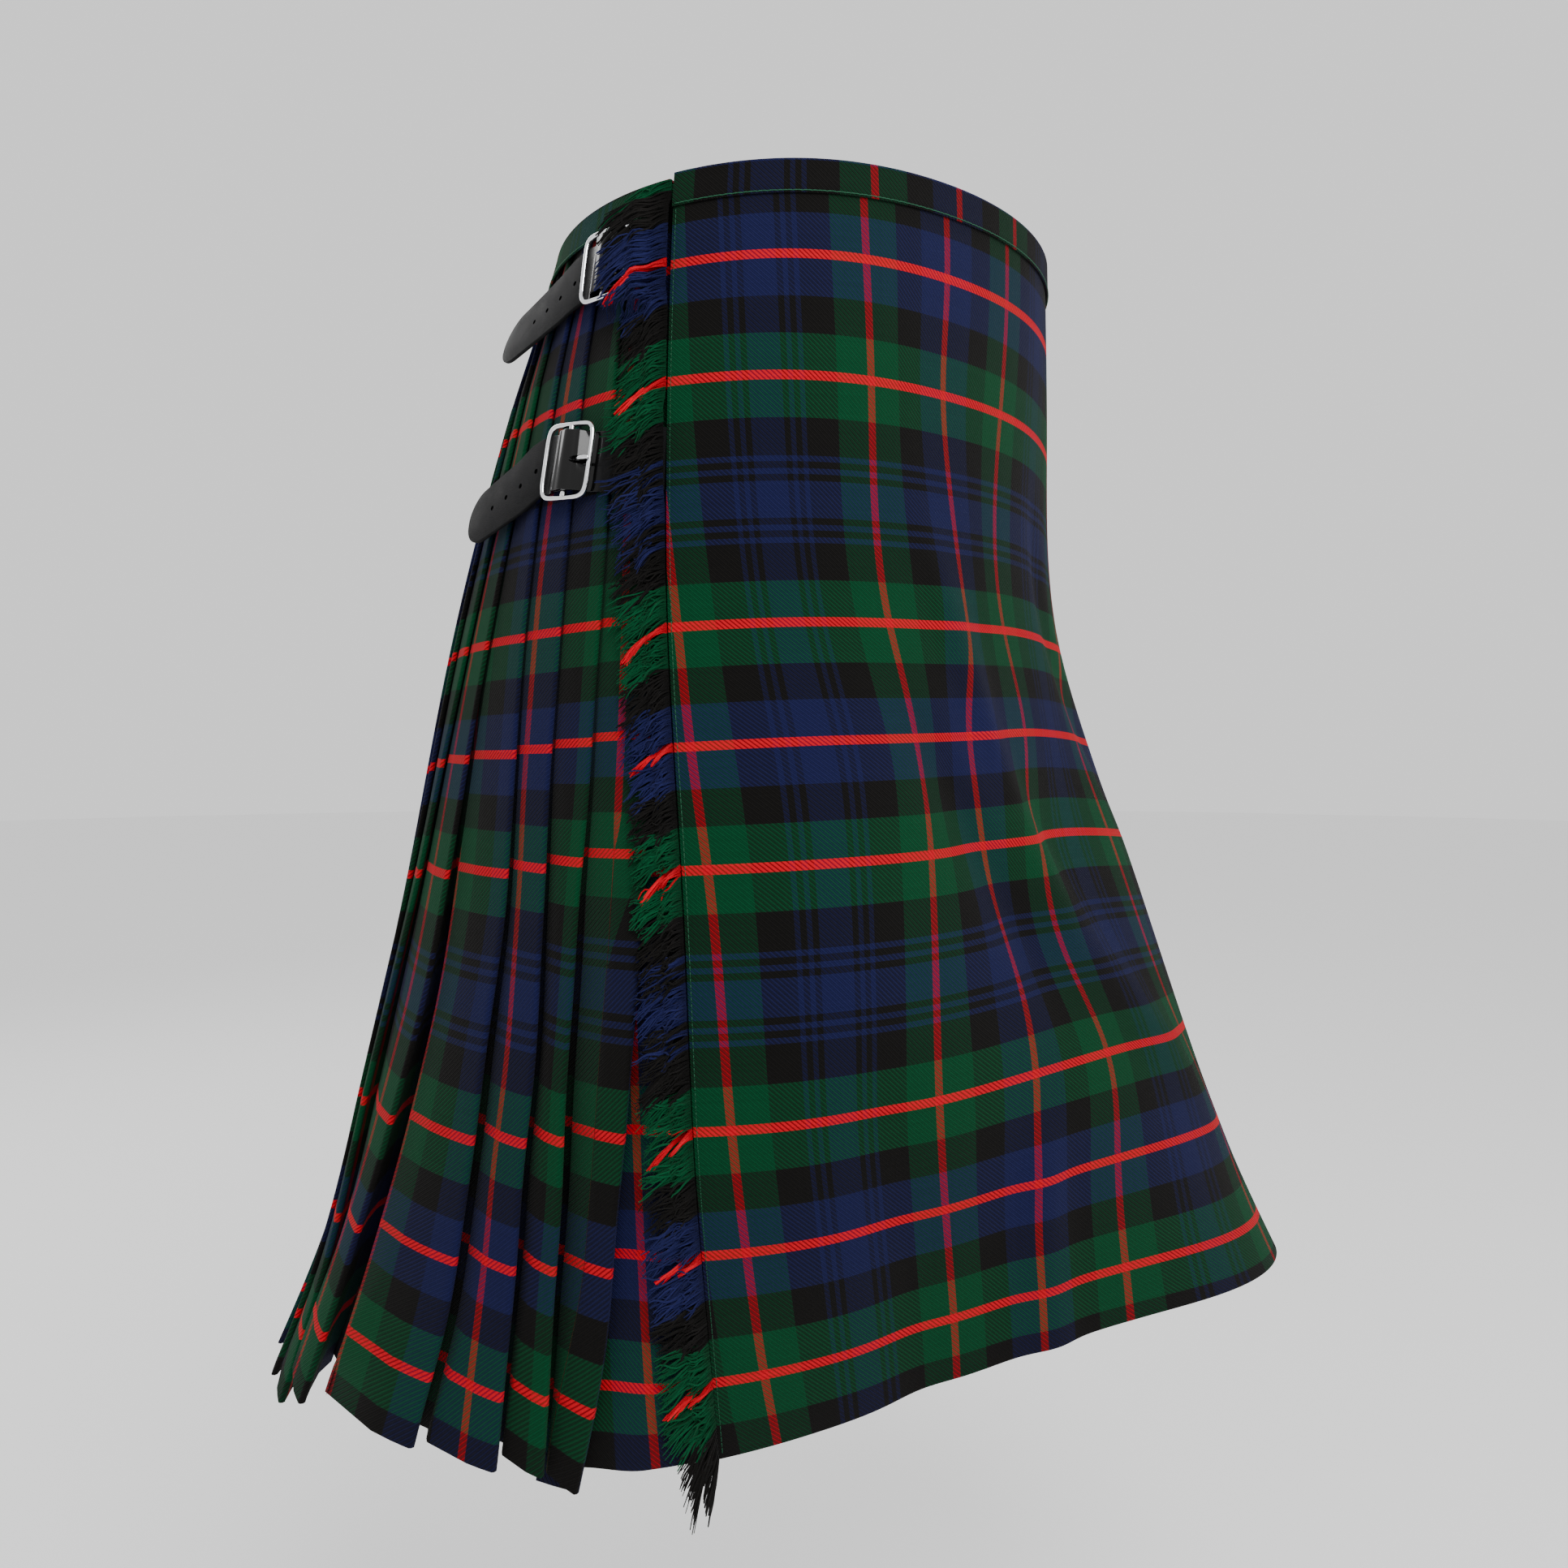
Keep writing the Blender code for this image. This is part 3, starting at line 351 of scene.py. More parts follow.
def fold_relief(bearing, drop):
    """Each fold is a bell-shaped ridge across a straight line on the cloth, faded at its two ends."""
    bearing = (np.asarray(bearing, float) + 180) % 360 - 180
    across = np.radians(bearing) * FOLD_RADIUS
    relief = np.zeros(np.broadcast(across, drop).shape)
    for row in FOLDS:
        fold = dict(zip(FOLD_COLUMNS, row))
        start = np.array((math.radians(fold["start_bearing"]) * FOLD_RADIUS, fold["start_drop"] * MM))
        end = np.array((math.radians(fold["end_bearing"]) * FOLD_RADIUS, fold["end_drop"] * MM))
        along = (end - start) / np.linalg.norm(end - start)
        reach = ((across - start[0]) * along[0] + (drop - start[1]) * along[1]) / np.linalg.norm(end - start)
        off = (across - start[0]) * along[1] - (drop - start[1]) * along[0]
        fade = smooth_step(reach, -0.12, 0.30)
        if fold["end_drop"] * MM < KILT_DROP:
            fade = fade * smooth_step(-reach, -1.12, -0.70)
        relief = relief + fold["height"] * MM * fade * np.exp(-((off / (fold["half_width"] * MM))**2))
    return relief


def envelope_radius(bearing, drop):
    """The envelope's level radius: its sections joined by smooth curves, with the drag folds added."""
    knots = [row[0] * MM for row in SECTIONS]
    radii = [row[1:] for row in SECTIONS]
    bearing, drop = np.broadcast_arrays(np.asarray(bearing, float), np.asarray(drop, float))
    return closed_spline(natural_spline(knots, radii, drop) * MM, bearing) + fold_relief(bearing, drop)


def level(bearing, drop):
    """The height of a place: even rows, tilted to follow the top edge's and the hem's rise."""
    share = np.asarray(drop, float) / KILT_DROP
    top = closed_spline(TOP_EDGE_RISE, bearing) * MM
    hem = closed_spline(HEM_RISE, bearing) * MM
    return TOP_Z - drop + top * (1 - share) + hem * share


def plan(bearing, drop):
    """The envelope's point at a bearing and a drop, seen from above."""
    angle = np.radians(bearing)
    radius = envelope_radius(bearing, drop)
    return np.stack([-radius * np.sin(angle), -radius * np.cos(angle)], -1)


def outward(bearing, drop):
    """The level direction square to the envelope's section, pointing away from the wearer."""
    step = 0.5
    run = plan(np.asarray(bearing) + step, drop) - plan(np.asarray(bearing) - step, drop)
    run = run / np.linalg.norm(run, axis=-1, keepdims=True)
    return np.stack([-run[..., 1], run[..., 0]], -1)


def place(bearing, drop, out=0.0):
    """The point at a bearing and a drop, moved out from the envelope by a distance."""
    bearing, drop = np.broadcast_arrays(np.asarray(bearing, float), np.asarray(drop, float))
    flat = plan(bearing, drop) + outward(bearing, drop) * np.asarray(out, float)[..., None]
    return np.concatenate([flat, level(bearing, drop)[..., None]], -1)


def edge(name, drop):
    """Bearing of one of the upright edges at a drop."""
    column = EDGE_COLUMNS.index(name)
    return natural_spline([row[0] * MM for row in EDGES], [row[column] for row in EDGES], drop)


def under_depth(drop):
    """How far the outer face of the under layers lies inside the envelope: more beneath the bands."""
    bands = 2 * BAND_CLOTH + 3 * BAND_GAP + CLOTH
    risen = np.clip((np.asarray(drop, float) - BAND_DROP) / (RISEN_DROP - BAND_DROP), 0, 1)
    return CLOTH + SEAM_GAP + (bands - CLOTH - SEAM_GAP) * (1 - risen)


def apron_bearings(drops, shares):
    """Bearings at shares of the way from the fringed edge to the left edge."""
    return edge("fringed_edge", drops) * (1 - shares) + edge("left_edge", drops) * shares


def pleat_step(drop):
    """How far a page sinks by the time that the next fold covers it."""
    return WAIST_STEP + (HEM_STEP - WAIST_STEP) * smooth_step(drop, FELL_DROP, KILT_DROP * 1.05)


def hidden_depth(drop):
    """How far a page runs on behind the next fold edge."""
    grown = smooth_step(drop, FELL_DROP * 0.8, KILT_DROP)
    return HIDDEN_AT_WAIST + (HIDDEN_AT_HEM - HIDDEN_AT_WAIST) * grown


def runs_along(line):
    """Length along a line of points, from its first."""
    return np.concatenate([[0], np.cumsum(np.linalg.norm(np.diff(line, axis=0), axis=1))])


def fold_bearings(drop):
    """Reach of each fold edge along the envelope at one drop, even at the waist and fanned at the hem.

    The bearings and lengths that turn a reach into a bearing come with it.
    """
    first = float(edge("first_pleat", drop))
    last = float(edge("last_pleat", drop))
    spread = float(smooth_step(drop, FELL_DROP, KILT_DROP))
    shares = 1 + FAN_SWING * spread * np.sin(2.3 * np.arange(PLEATS))
    fan = natural_spline([row[0] * MM for row in FAN], [row[1:] for row in FAN], drop)
    shares[:len(fan)] = fan
    fine = np.linspace(first, last, 721)
    lengths = runs_along(plan(fine, np.full_like(fine, drop)))
    reach = np.concatenate([[0], np.cumsum(shares)]) / shares.sum() * lengths[-1]
    return reach, fine, lengths


def grid_quads(rows, columns, base=0):
    """Corner numbers of the four-sided faces of a grid of points."""
    r, c = np.meshgrid(np.arange(rows - 1), np.arange(columns - 1), indexing="ij")
    first = base + r * columns + c
    return np.stack([first, first + 1, first + columns + 1, first + columns], -1).reshape(-1, 4)


def add_piece(name, points, quads, measure, finish, slot, nodes=(), sharp=40.0):
    """Makes a mesh from whole arrays, facing outwards, with the cloth's own measure as its UV map."""
    points = np.asarray(points, float).reshape(-1, 3)
    quads = np.asarray(quads, int)
    a, b, c, d = (points[quads[:, i]] for i in range(4))
    volume = (np.cross(b - a, c - a) * a).sum() + (np.cross(c - a, d - a) * a).sum()
    if volume < 0:
        quads = quads[:, ::-1]
    mesh = bpy.data.meshes.new(name)
    mesh.vertices.add(len(points))
    mesh.vertices.foreach_set("co", points.ravel())
    mesh.loops.add(quads.size)
    mesh.loops.foreach_set("vertex_index", quads.ravel())
    mesh.polygons.add(len(quads))
    mesh.polygons.foreach_set("loop_start", np.arange(0, quads.size, 4))
    mesh.update(calc_edges=True)
    layer = mesh.uv_layers.new(name="measure")
    layer.data.foreach_set("uv", np.asarray(measure, float).reshape(-1, 2)[quads.ravel()].ravel())
    mesh.shade_smooth()
    mesh.set_sharp_from_angle(angle=math.radians(sharp))
    mesh.materials.append(finish)
    made = bpy.data.objects.new(name, mesh)
    bpy.context.scene.collection.objects.link(made)
    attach(made, "root")
    if nodes:
        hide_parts(*nodes)
    return made


def walled(outer, inner, measure):
    """Points, faces and measure of a closed wall between two grids, with faces round its rim."""
    rows, columns = outer.shape[:2]
    count = rows * columns
    front = grid_quads(rows, columns)
    back = grid_quads(rows, columns, count)[:, ::-1]
    numbers = np.arange(count).reshape(rows, columns)
    loop = np.concatenate([numbers[0], numbers[1:, -1], numbers[-1, -2::-1], numbers[-2:0:-1, 0]])
    after = np.roll(loop, -1)
    rim = np.stack([after, loop, loop + count, after + count], -1)
    points = np.concatenate([outer.reshape(-1, 3), inner.reshape(-1, 3)])
    flat = measure.reshape(-1, 2)
    return points, np.concatenate([front, back, rim]), np.concatenate([flat, flat])


def row_lengths(points):
    """Length along each row of a grid, from its first column."""
    steps = np.linalg.norm(np.diff(points, axis=1), axis=-1)
    return np.concatenate([np.zeros((len(points), 1)), np.cumsum(steps, axis=1)], 1)


def cap_quads(sides):
    """Four-sided faces that close a ring with an even number of sides, from one side to the other."""
    i = np.arange(sides // 2 - 1)
    return np.stack([i, i + 1, sides - 2 - i, sides - 1 - i], -1)


def tube_quads(count, stations, sides):
    """Faces of many closed tubes: each has its rings of corners one after another, and two caps."""
    t, s, k = np.meshgrid(np.arange(count), np.arange(stations - 1), np.arange(sides), indexing="ij")
    base = (t * stations + s) * sides
    after = (k + 1) % sides
    walls = np.stack([base + k, base + after, base + sides + after, base + sides + k], -1).reshape(-1, 4)
    first = np.arange(count)[:, None, None] * stations * sides
    start = (first + cap_quads(sides)[None, :, ::-1]).reshape(-1, 4)
    end = (first + (stations - 1) * sides + cap_quads(sides)[None]).reshape(-1, 4)
    return np.concatenate([walls, start, end])


def tubes(paths, radii, sides=4, lift=None, flat=1.0):
    """Corners of tubes round many paths: a ring square to each path at every station.

    paths is (tubes, stations, 3) and radii (tubes, stations). The ring's first axis is the path's
    own direction crossed with lift, its second is squashed by flat.
    """
    ahead = np.gradient(paths, axis=1)
    ahead = ahead / np.maximum(np.linalg.norm(ahead, axis=-1, keepdims=True), 1e-12)
    lift = np.array((0.0, 0.0, 1.0)) if lift is None else lift
    side = np.cross(ahead, np.broadcast_to(lift, ahead.shape))
    side = side / np.maximum(np.linalg.norm(side, axis=-1, keepdims=True), 1e-9)
    up = np.cross(side, ahead)
    turn = (np.arange(sides) + 0.5) / sides * 2 * math.pi
    ring = (side[:, :, None] * np.cos(turn)[None, None, :, None]
            + up[:, :, None] * np.sin(turn)[None, None, :, None] * flat)
    return paths[:, :, None] + ring * radii[:, :, None, None]


def lofted(rings, measure):
    """Points, faces and measure of one closed solid through rings of corners, with a cap at each end."""
    stations, sides = rings.shape[:2]
    return rings.reshape(-1, 3), tube_quads(1, stations, sides), measure.reshape(-1, 2)


def add_node(tree, kind, inputs=None, **settings):
    """A node with its settings, whose inputs are given values or are linked to other sockets."""
    node = tree.nodes.new(kind)
    for name, value in settings.items():
        setattr(node, name, value)
    for key, value in (inputs or {}).items():
        if isinstance(value, bpy.types.NodeSocket):
            tree.links.new(value, node.inputs[key])
        else:
            node.inputs[key].default_value = value
    return node


def maths(tree, operation, *values):
    """Output of one maths node."""
    return add_node(tree, "ShaderNodeMath", dict(enumerate(values)), operation=operation).outputs[0]


def mixed(tree, factor, first, second, blend="MIX"):
    """Two colours mixed by a factor."""
    inputs = {0: factor, 6: first, 7: second}
    return add_node(tree, "ShaderNodeMix", inputs, data_type="RGBA", blend_type=blend).outputs[2]


def blended(tree, factor, first, second):
    """Two values mixed by a factor."""
    inputs = {0: factor, 2: first, 3: second}
    return add_node(tree, "ShaderNodeMix", inputs, data_type="FLOAT").outputs[0]


def noise(tree, vector, scale, detail, **others):
    """The value of a noise texture."""
    inputs = {"Vector": vector, "Scale": scale, "Detail": detail, **others}
    return add_node(tree, "ShaderNodeTexNoise", inputs).outputs["Fac"]


def streaks(tree, across, down, across_grains, down_grains):
    """Noise with many more grains a metre one way than the other."""
    parts = {0: maths(tree, "MULTIPLY", across, across_grains),
             1: maths(tree, "MULTIPLY", down, down_grains)}
    return noise(tree, add_node(tree, "ShaderNodeCombineXYZ", parts).outputs[0], 1.0, 2.0)


def grey(tree, value):
    """A colour with one value in all three of its channels."""
    return add_node(tree, "ShaderNodeCombineXYZ", {0: value, 1: value, 2: value}).outputs[0]


def ranged(tree, value, low, high, to_low=0.0, to_high=1.0, kind="SMOOTHSTEP"):
    """A value carried from one range to another."""
    inputs = {0: value, 1: low, 2: high, 3: to_low, 4: to_high}
    return add_node(tree, "ShaderNodeMapRange", inputs, interpolation_type=kind).outputs[0]


def new_group(name, inputs, outputs):
    """An empty shader node group with named sockets, and its input and output nodes."""
    tree = bpy.data.node_groups.new(name, "ShaderNodeTree")
    for label, kind, default in inputs:
        socket = tree.interface.new_socket(label, in_out="INPUT", socket_type=kind)
        if default is not None:
            socket.default_value = default
    for label, kind in outputs:
        tree.interface.new_socket(label, in_out="OUTPUT", socket_type=kind)
    return tree, tree.nodes.new("NodeGroupInput"), tree.nodes.new("NodeGroupOutput")


def second_red_share():
    """Where the middle of the sett's second red stripe lies, as a share of one whole repeat."""
    before = sum(threads for _, threads in HALF_SETT[:4]) + HALF_SETT[4][1] / 2
    return before / sum(threads for _, threads in HALF_SETT) / 2


def thread_colour_group():
    """Colour of a thread by its place: the place is folded at both mirror lines of the sett, and a
    ramp with hard steps gives each stripe's colour. Its alpha is how much that colour stands proud.
    """
    name = "thread colour"
    if name in bpy.data.node_groups:
        return bpy.data.node_groups[name]
    cloth = bpy.context.scene.kilt_cloth
    inputs = (("Place", "NodeSocketFloat", 0.0), ("Sett", "NodeSocketFloat", 0.2),
              ("Start", "NodeSocketFloat", 0.0))
    outputs = (("Color", "NodeSocketColor"), ("Proud", "NodeSocketFloat"))
    tree, given, result = new_group(name, inputs, outputs)
    from_start = maths(tree, "SUBTRACT", given.outputs["Place"], given.outputs["Start"])
    repeats = maths(tree, "DIVIDE", from_start, given.outputs["Sett"])
    folded = maths(tree, "PINGPONG", repeats, 0.5)
    share = maths(tree, "MULTIPLY", folded, 2.0)
    ramp = add_node(tree, "ShaderNodeValToRGB", {0: share})
    ramp.color_ramp.interpolation = "CONSTANT"
    total = sum(threads for _, threads in HALF_SETT)
    reached = 0
    for i, (colour, threads) in enumerate(HALF_SETT):
        if i == 0:
            stop = ramp.color_ramp.elements[0]
        elif i == 1:
            stop = ramp.color_ramp.elements[1]
        else:
            stop = ramp.color_ramp.elements.new(reached / total)
        stop.position = reached / total
        stop.color = (*getattr(cloth, colour), 1.0 if colour == "red" else 0.0)
        reached += threads
    tree.links.new(ramp.outputs["Color"], result.inputs["Color"])
    tree.links.new(ramp.outputs["Alpha"], result.inputs["Proud"])
    return tree


def place_group(tree, group, inputs):
    """A node that uses a node group."""
    return add_node(tree, "ShaderNodeGroup", inputs, node_tree=group)


def woven_check_group():
    """The check: warp colour by u and weft colour by v, shown in turn along slanting twill lines.

    The twill's phase grows with u less v, and the weft shows where its triangle wave is below the
    weft's share, which is larger on a proud weft stripe. The colour is darkened where warp and weft
    floats meet, as painted shade in the twill's grooves. Height is that wave with wool fuzz on it.
    """
    name = "woven check"
    if name in bpy.data.node_groups:
        return bpy.data.node_groups[name]
    cloth = bpy.context.scene.kilt_cloth
    inputs = (("Measure", "NodeSocketVector", None), ("Streaks", "NodeSocketFloat", 0.2))
    outputs = (("Color", "NodeSocketColor"), ("Height", "NodeSocketFloat"))
    tree, given, result = new_group(name, inputs, outputs)
    parts = add_node(tree, "ShaderNodeSeparateXYZ", {0: given.outputs["Measure"]})
    across, down = parts.outputs[0], parts.outputs[1]
    warp_start = -second_red_share() * SETT_ACROSS
    colour = thread_colour_group()
    warp = place_group(tree, colour, {"Place": across, "Sett": SETT_ACROSS, "Start": warp_start})
    weft = place_group(tree, colour, {"Place": down, "Sett": SETT_DOWN, "Start": FIRST_RED_ROW})
    slant = maths(tree, "SUBTRACT", across, down)
    wobble = noise(tree, given.outputs["Measure"], 45.0, 1.0)
    drift = maths(tree, "MULTIPLY_ADD", wobble, 0.7 * MM, slant)
    phase = maths(tree, "PINGPONG", maths(tree, "DIVIDE", drift, cloth.twill_pitch * math.sqrt(2.0)), 0.5)
    wave = maths(tree, "MULTIPLY", phase, 2.0)
    proud = maths(tree, "MULTIPLY_ADD", weft.outputs["Proud"], RED_WEFT_SHARE, WEFT_SHARE)
    share = maths(tree, "MULTIPLY_ADD", warp.outputs["Proud"], RED_WARP_SHARE, proud)
    gap = maths(tree, "SUBTRACT", wave, share)
    crisp = ranged(tree, gap, -0.22, 0.22)
    # Wool fuzz blends the two colours, least where a red row floats over the rest.
    even = maths(tree, "SUBTRACT", 1.0, share)
    clear = maths(tree, "MULTIPLY_ADD", weft.outputs["Proud"], RED_CLEAR, CLEAR)
    shows_warp = blended(tree, clear, even, crisp)
    woven = mixed(tree, shows_warp, weft.outputs["Color"], warp.outputs["Color"])
    # Threads of one colour differ a little: streaks along the weft and along the warp.
    along_weft = streaks(tree, across, down, STREAK_LONG, STREAK_FINE)
    along_warp = streaks(tree, across, down, STREAK_FINE, STREAK_LONG)
    streak = blended(tree, shows_warp, along_weft, along_warp)
    fuzz = noise(tree, given.outputs["Measure"], 1600.0, 3.0, Roughness=0.7)
    uneven = maths(tree, "MULTIPLY", maths(tree, "SUBTRACT", streak, 0.5), given.outputs["Streaks"])
    fuzzed = maths(tree, "MULTIPLY_ADD", maths(tree, "SUBTRACT", fuzz, 0.5), 0.5, uneven)
    # Painted shade: the colour darkens towards the edges between warp and weft floats, where the twill's
    # grooves lie.
    twill_groove_shade = ranged(tree, maths(tree, "ABSOLUTE", gap), 0.0, 0.30, 0.72, 1.06)
    bright = maths(tree, "MULTIPLY", twill_groove_shade, maths(tree, "ADD", fuzzed, 1.0))
    final = mixed(tree, 1.0, woven, grey(tree, bright), "MULTIPLY")
    ridge = ranged(tree, maths(tree, "ABSOLUTE", gap), 0.0, 0.5)
    height = maths(tree, "MULTIPLY_ADD", fuzz, 0.35, ridge)
    tree.links.new(final, result.inputs["Color"])
    tree.links.new(height, result.inputs["Height"])
    return tree


def leather_grain_group():
    """Leather: small cells and pores for the grain's height, and a broad mottle for handling."""
    name = "leather grain"
    if name in bpy.data.node_groups:
        return bpy.data.node_groups[name]
    inputs = (("Vector", "NodeSocketVector", None), ("Grain", "NodeSocketFloat", 1400.0))
    outputs = (("Height", "NodeSocketFloat"), ("Mottle", "NodeSocketFloat"))
    tree, given, result = new_group(name, inputs, outputs)
    vector = given.outputs["Vector"]
    cells = add_node(tree, "ShaderNodeTexVoronoi", {"Vector": vector, "Scale": given.outputs["Grain"]},
                     feature="DISTANCE_TO_EDGE")
    cell = ranged(tree, cells.outputs["Distance"], 0.0, 0.25)
    height = maths(tree, "MULTIPLY_ADD", noise(tree, vector, 420.0, 4.0), 0.8, cell)
    tree.links.new(height, result.inputs["Height"])
    tree.links.new(noise(tree, vector, 90.0, 3.0), result.inputs["Mottle"])
    return tree


def new_material(name, **constants):
    """An empty Principled material with its constant sockets set by name."""
    made = bpy.data.materials.new(name)
    made.use_nodes = True
    shader = made.node_tree.nodes["Principled BSDF"]
    for label, value in constants.items():
        shader.inputs[label.replace("_", " ").title().replace("Ior", "IOR")].default_value = value
    return made, made.node_tree, shader


def measure_of(tree):
    """The place on a piece by its own measure, in metres."""
    return add_node(tree, "ShaderNodeUVMap", uv_map="measure").outputs[0]


def bumped(tree, shader, height, distance, strength=1.0):
    """Gives a shader relief from a height."""
    bump = add_node(tree, "ShaderNodeBump", {"Height": height, "Distance": distance, "Strength": strength})
    tree.links.new(bump.outputs[0], shader.inputs["Normal"])


def check_wool():
    """Matt worsted twill in the check, with its weave as relief."""
    name = "check wool"
    if name in bpy.data.materials:
        return bpy.data.materials[name]
    made, tree, shader = new_material(name, roughness=0.95, sheen_weight=0.02, sheen_roughness=0.5,
                                      specular_ior_level=0.05)
    woven = place_group(tree, woven_check_group(), {"Measure": measure_of(tree), "Streaks": 0.42})
    tree.links.new(woven.outputs["Color"], shader.inputs["Base Color"])
    bumped(tree, shader, woven.outputs["Height"], 0.35 * MM, 0.8)
    return made


def fringe_wool():
    """Loose weft yarn: its colour is the row's that it was pulled from, scaled by u, which holds the yarn's
    own tone and painted shade near its root.
    """
    name = "fringe wool"
    if name in bpy.data.materials:
        return bpy.data.materials[name]
    made, tree, shader = new_material(name, roughness=0.95, sheen_weight=0.03, sheen_roughness=0.5,
                                      specular_ior_level=0.05)
    parts = add_node(tree, "ShaderNodeSeparateXYZ", {0: measure_of(tree)})
    weft = place_group(tree, thread_colour_group(), {"Place": parts.outputs[1], "Sett": SETT_DOWN,
                                                     "Start": FIRST_RED_ROW})
    coords = add_node(tree, "ShaderNodeTexCoord")
    fuzz = noise(tree, coords.outputs["Object"], 1500.0, 3.0)
    # u brings each yarn's random tone and the painted shade at its root; fuzz is added to it.
    yarn_tone_and_root_shade = maths(tree, "MULTIPLY_ADD", fuzz, 0.8, parts.outputs[0])
    final = mixed(tree, 1.0, weft.outputs["Color"], grey(tree, yarn_tone_and_root_shade), "MULTIPLY")
    tree.links.new(final, shader.inputs["Base Color"])
    bumped(tree, shader, fuzz, 0.3 * MM)
    return made


def sewing_thread():
    """Green thread, darker in the grooves between the turns of its twist as painted shade, along its slant.
    """
    name = "green sewing thread"
    if name in bpy.data.materials:
        return bpy.data.materials[name]
    cloth = bpy.context.scene.kilt_cloth
    made, tree, shader = new_material(name, roughness=0.6, specular_ior_level=0.3)
    parts = add_node(tree, "ShaderNodeSeparateXYZ", {0: measure_of(tree)})
    slant = maths(tree, "ADD", parts.outputs[0], parts.outputs[1])
    twist = maths(tree, "PINGPONG", maths(tree, "DIVIDE", slant, 0.5 * MM), 0.5)
    # Painted shade: the thread is lighter on the crests of its twist and darker in the grooves between them.
    light = tuple(0.9 * part for part in cloth.thread)
    dark = tuple(0.45 * part for part in cloth.thread)
    final = mixed(tree, twist, (*dark, 1.0), (*light, 1.0))
    tree.links.new(final, shader.inputs["Base Color"])
    bumped(tree, shader, twist, 0.1 * MM)
    return made


def strap_leather():
    """Black hide, matt and grained, and rubbed to a high gloss where it is bent through the buckle."""
    name = "black strap leather"
    if name in bpy.data.materials:
        return bpy.data.materials[name]
    hardware = bpy.context.scene.kilt_hardware
    made, tree, shader = new_material(name, coat_roughness=0.05, specular_ior_level=0.08)
    measure = measure_of(tree)
    parts = add_node(tree, "ShaderNodeSeparateXYZ", {0: measure})
    grain = place_group(tree, leather_grain_group(), {"Vector": measure, "Grain": 1500.0})
    off = maths(tree, "ABSOLUTE", maths(tree, "ADD", parts.outputs[0], 2.0 * MM))
    gloss = ranged(tree, off, 12.0 * MM, 17.0 * MM, 1.0, 0.0)
    dark = tuple(0.6 * part for part in hardware.leather)
    worn = tuple(1.6 * part for part in hardware.leather)
    hide = mixed(tree, grain.outputs["Mottle"], (*dark, 1.0), (*worn, 1.0))
    final = mixed(tree, gloss, hide, (0.002, 0.002, 0.002, 1.0))
    tree.links.new(final, shader.inputs["Base Color"])
    rough = maths(tree, "MULTIPLY_ADD", grain.outputs["Mottle"], 0.25, 0.52)
    tree.links.new(ranged(tree, gloss, 0.0, 1.0, rough, 0.10, "LINEAR"), shader.inputs["Roughness"])
    tree.links.new(maths(tree, "MULTIPLY", gloss, 0.4), shader.inputs["Coat Weight"])
    rise = maths(tree, "MULTIPLY", grain.outputs["Height"], ranged(tree, gloss, 0.0, 1.0, 1.0, 0.08))
    bumped(tree, shader, rise, 0.12 * MM, 0.7)
    return made


def polished_chrome():
    """Plated metal: bright, with faint rub marks that roughen it a little."""
    name = "polished chrome"
    if name in bpy.data.materials:
        return bpy.data.materials[name]
    hardware = bpy.context.scene.kilt_hardware
    made, tree, shader = new_material(name, metallic=1.0)
    coords = add_node(tree, "ShaderNodeTexCoord")
    rubs = noise(tree, coords.outputs["Object"], 260.0, 5.0)
    dull = tuple(0.86 * part for part in hardware.chrome)
    final = mixed(tree, rubs, (*dull, 1.0), (*hardware.chrome, 1.0))
    tree.links.new(final, shader.inputs["Base Color"])
    tree.links.new(ranged(tree, rubs, 0.3, 0.8, 0.05, 0.16), shader.inputs["Roughness"])
    bumped(tree, shader, rubs, 0.02 * MM, 0.4)
    return made


def apron_grain(drops):
    """How far the weft rows lie above their even level beside the fringed edge."""
    return natural_spline([row[0] * MM for row in APRON_GRAIN], [row[1] * MM for row in APRON_GRAIN], drops)


def hung_stripes(drops):
    """Bearings of the five red stripes, one row for each drop, smoothly joined from row to row."""
    return natural_spline([row[0] * MM for row in HUNG_STRIPES], [row[1:] for row in HUNG_STRIPES], drops)


def apron_measure(points, bearings, drops):
    """Cloth measure of a grid: the place across the warp runs from stripe to stripe, and by true
    length beyond the outermost two, and the place down the weft follows the drop and the grain."""
    lengths = row_lengths(points)
    across = np.empty_like(lengths)
    for i, stripes in enumerate(hung_stripes(drops[:, 0])):
        runs = np.interp(-stripes, -bearings[i], lengths[i])
        per_degree = (lengths[i, 1] - lengths[i, 0]) / (bearings[i, 0] - bearings[i, 1])
        runs[0] -= max(stripes[0] - bearings[i, 0], 0) * per_degree
        across[i] = np.interp(lengths[i], runs, HUNG_PLACES)
        across[i] += np.minimum(lengths[i] - runs[0], 0) + np.maximum(lengths[i] - runs[-1], 0)
    share = (bearings - bearings[:, :1]) / (bearings[:, -1:] - bearings[:, :1])
    tilt = APRON_GRAIN_TILT * share * smooth_step(drops, 0, 0.1)
    return np.stack([across, drops + apron_grain(drops) - tilt], -1)


def make_over_apron():
    """The envelope itself between the fringed and the folded edge, with its wall turned inwards."""
    rows, columns = 190, 230
    drops = np.linspace(0, KILT_DROP, rows)[:, None]
    bearings = apron_bearings(drops, np.linspace(0, 1, columns)[None, :])
    outer = place(bearings, drops)
    inner = place(bearings, drops, -CLOTH)
    measure = apron_measure(outer, bearings, drops)
    made = add_piece("over_apron_cloth", *walled(outer, inner, measure), check_wool(), "wool",
                     ["over_apron"])
    return made


def pleat_slope(drops):
    """How steeply the first page sinks behind its fold edge, at each of several drops."""
    widths = np.array([np.diff(fold_bearings(float(d))[0][:2])[0] for d in drops.ravel()])
    return pleat_step(drops) / widths.reshape(drops.shape)


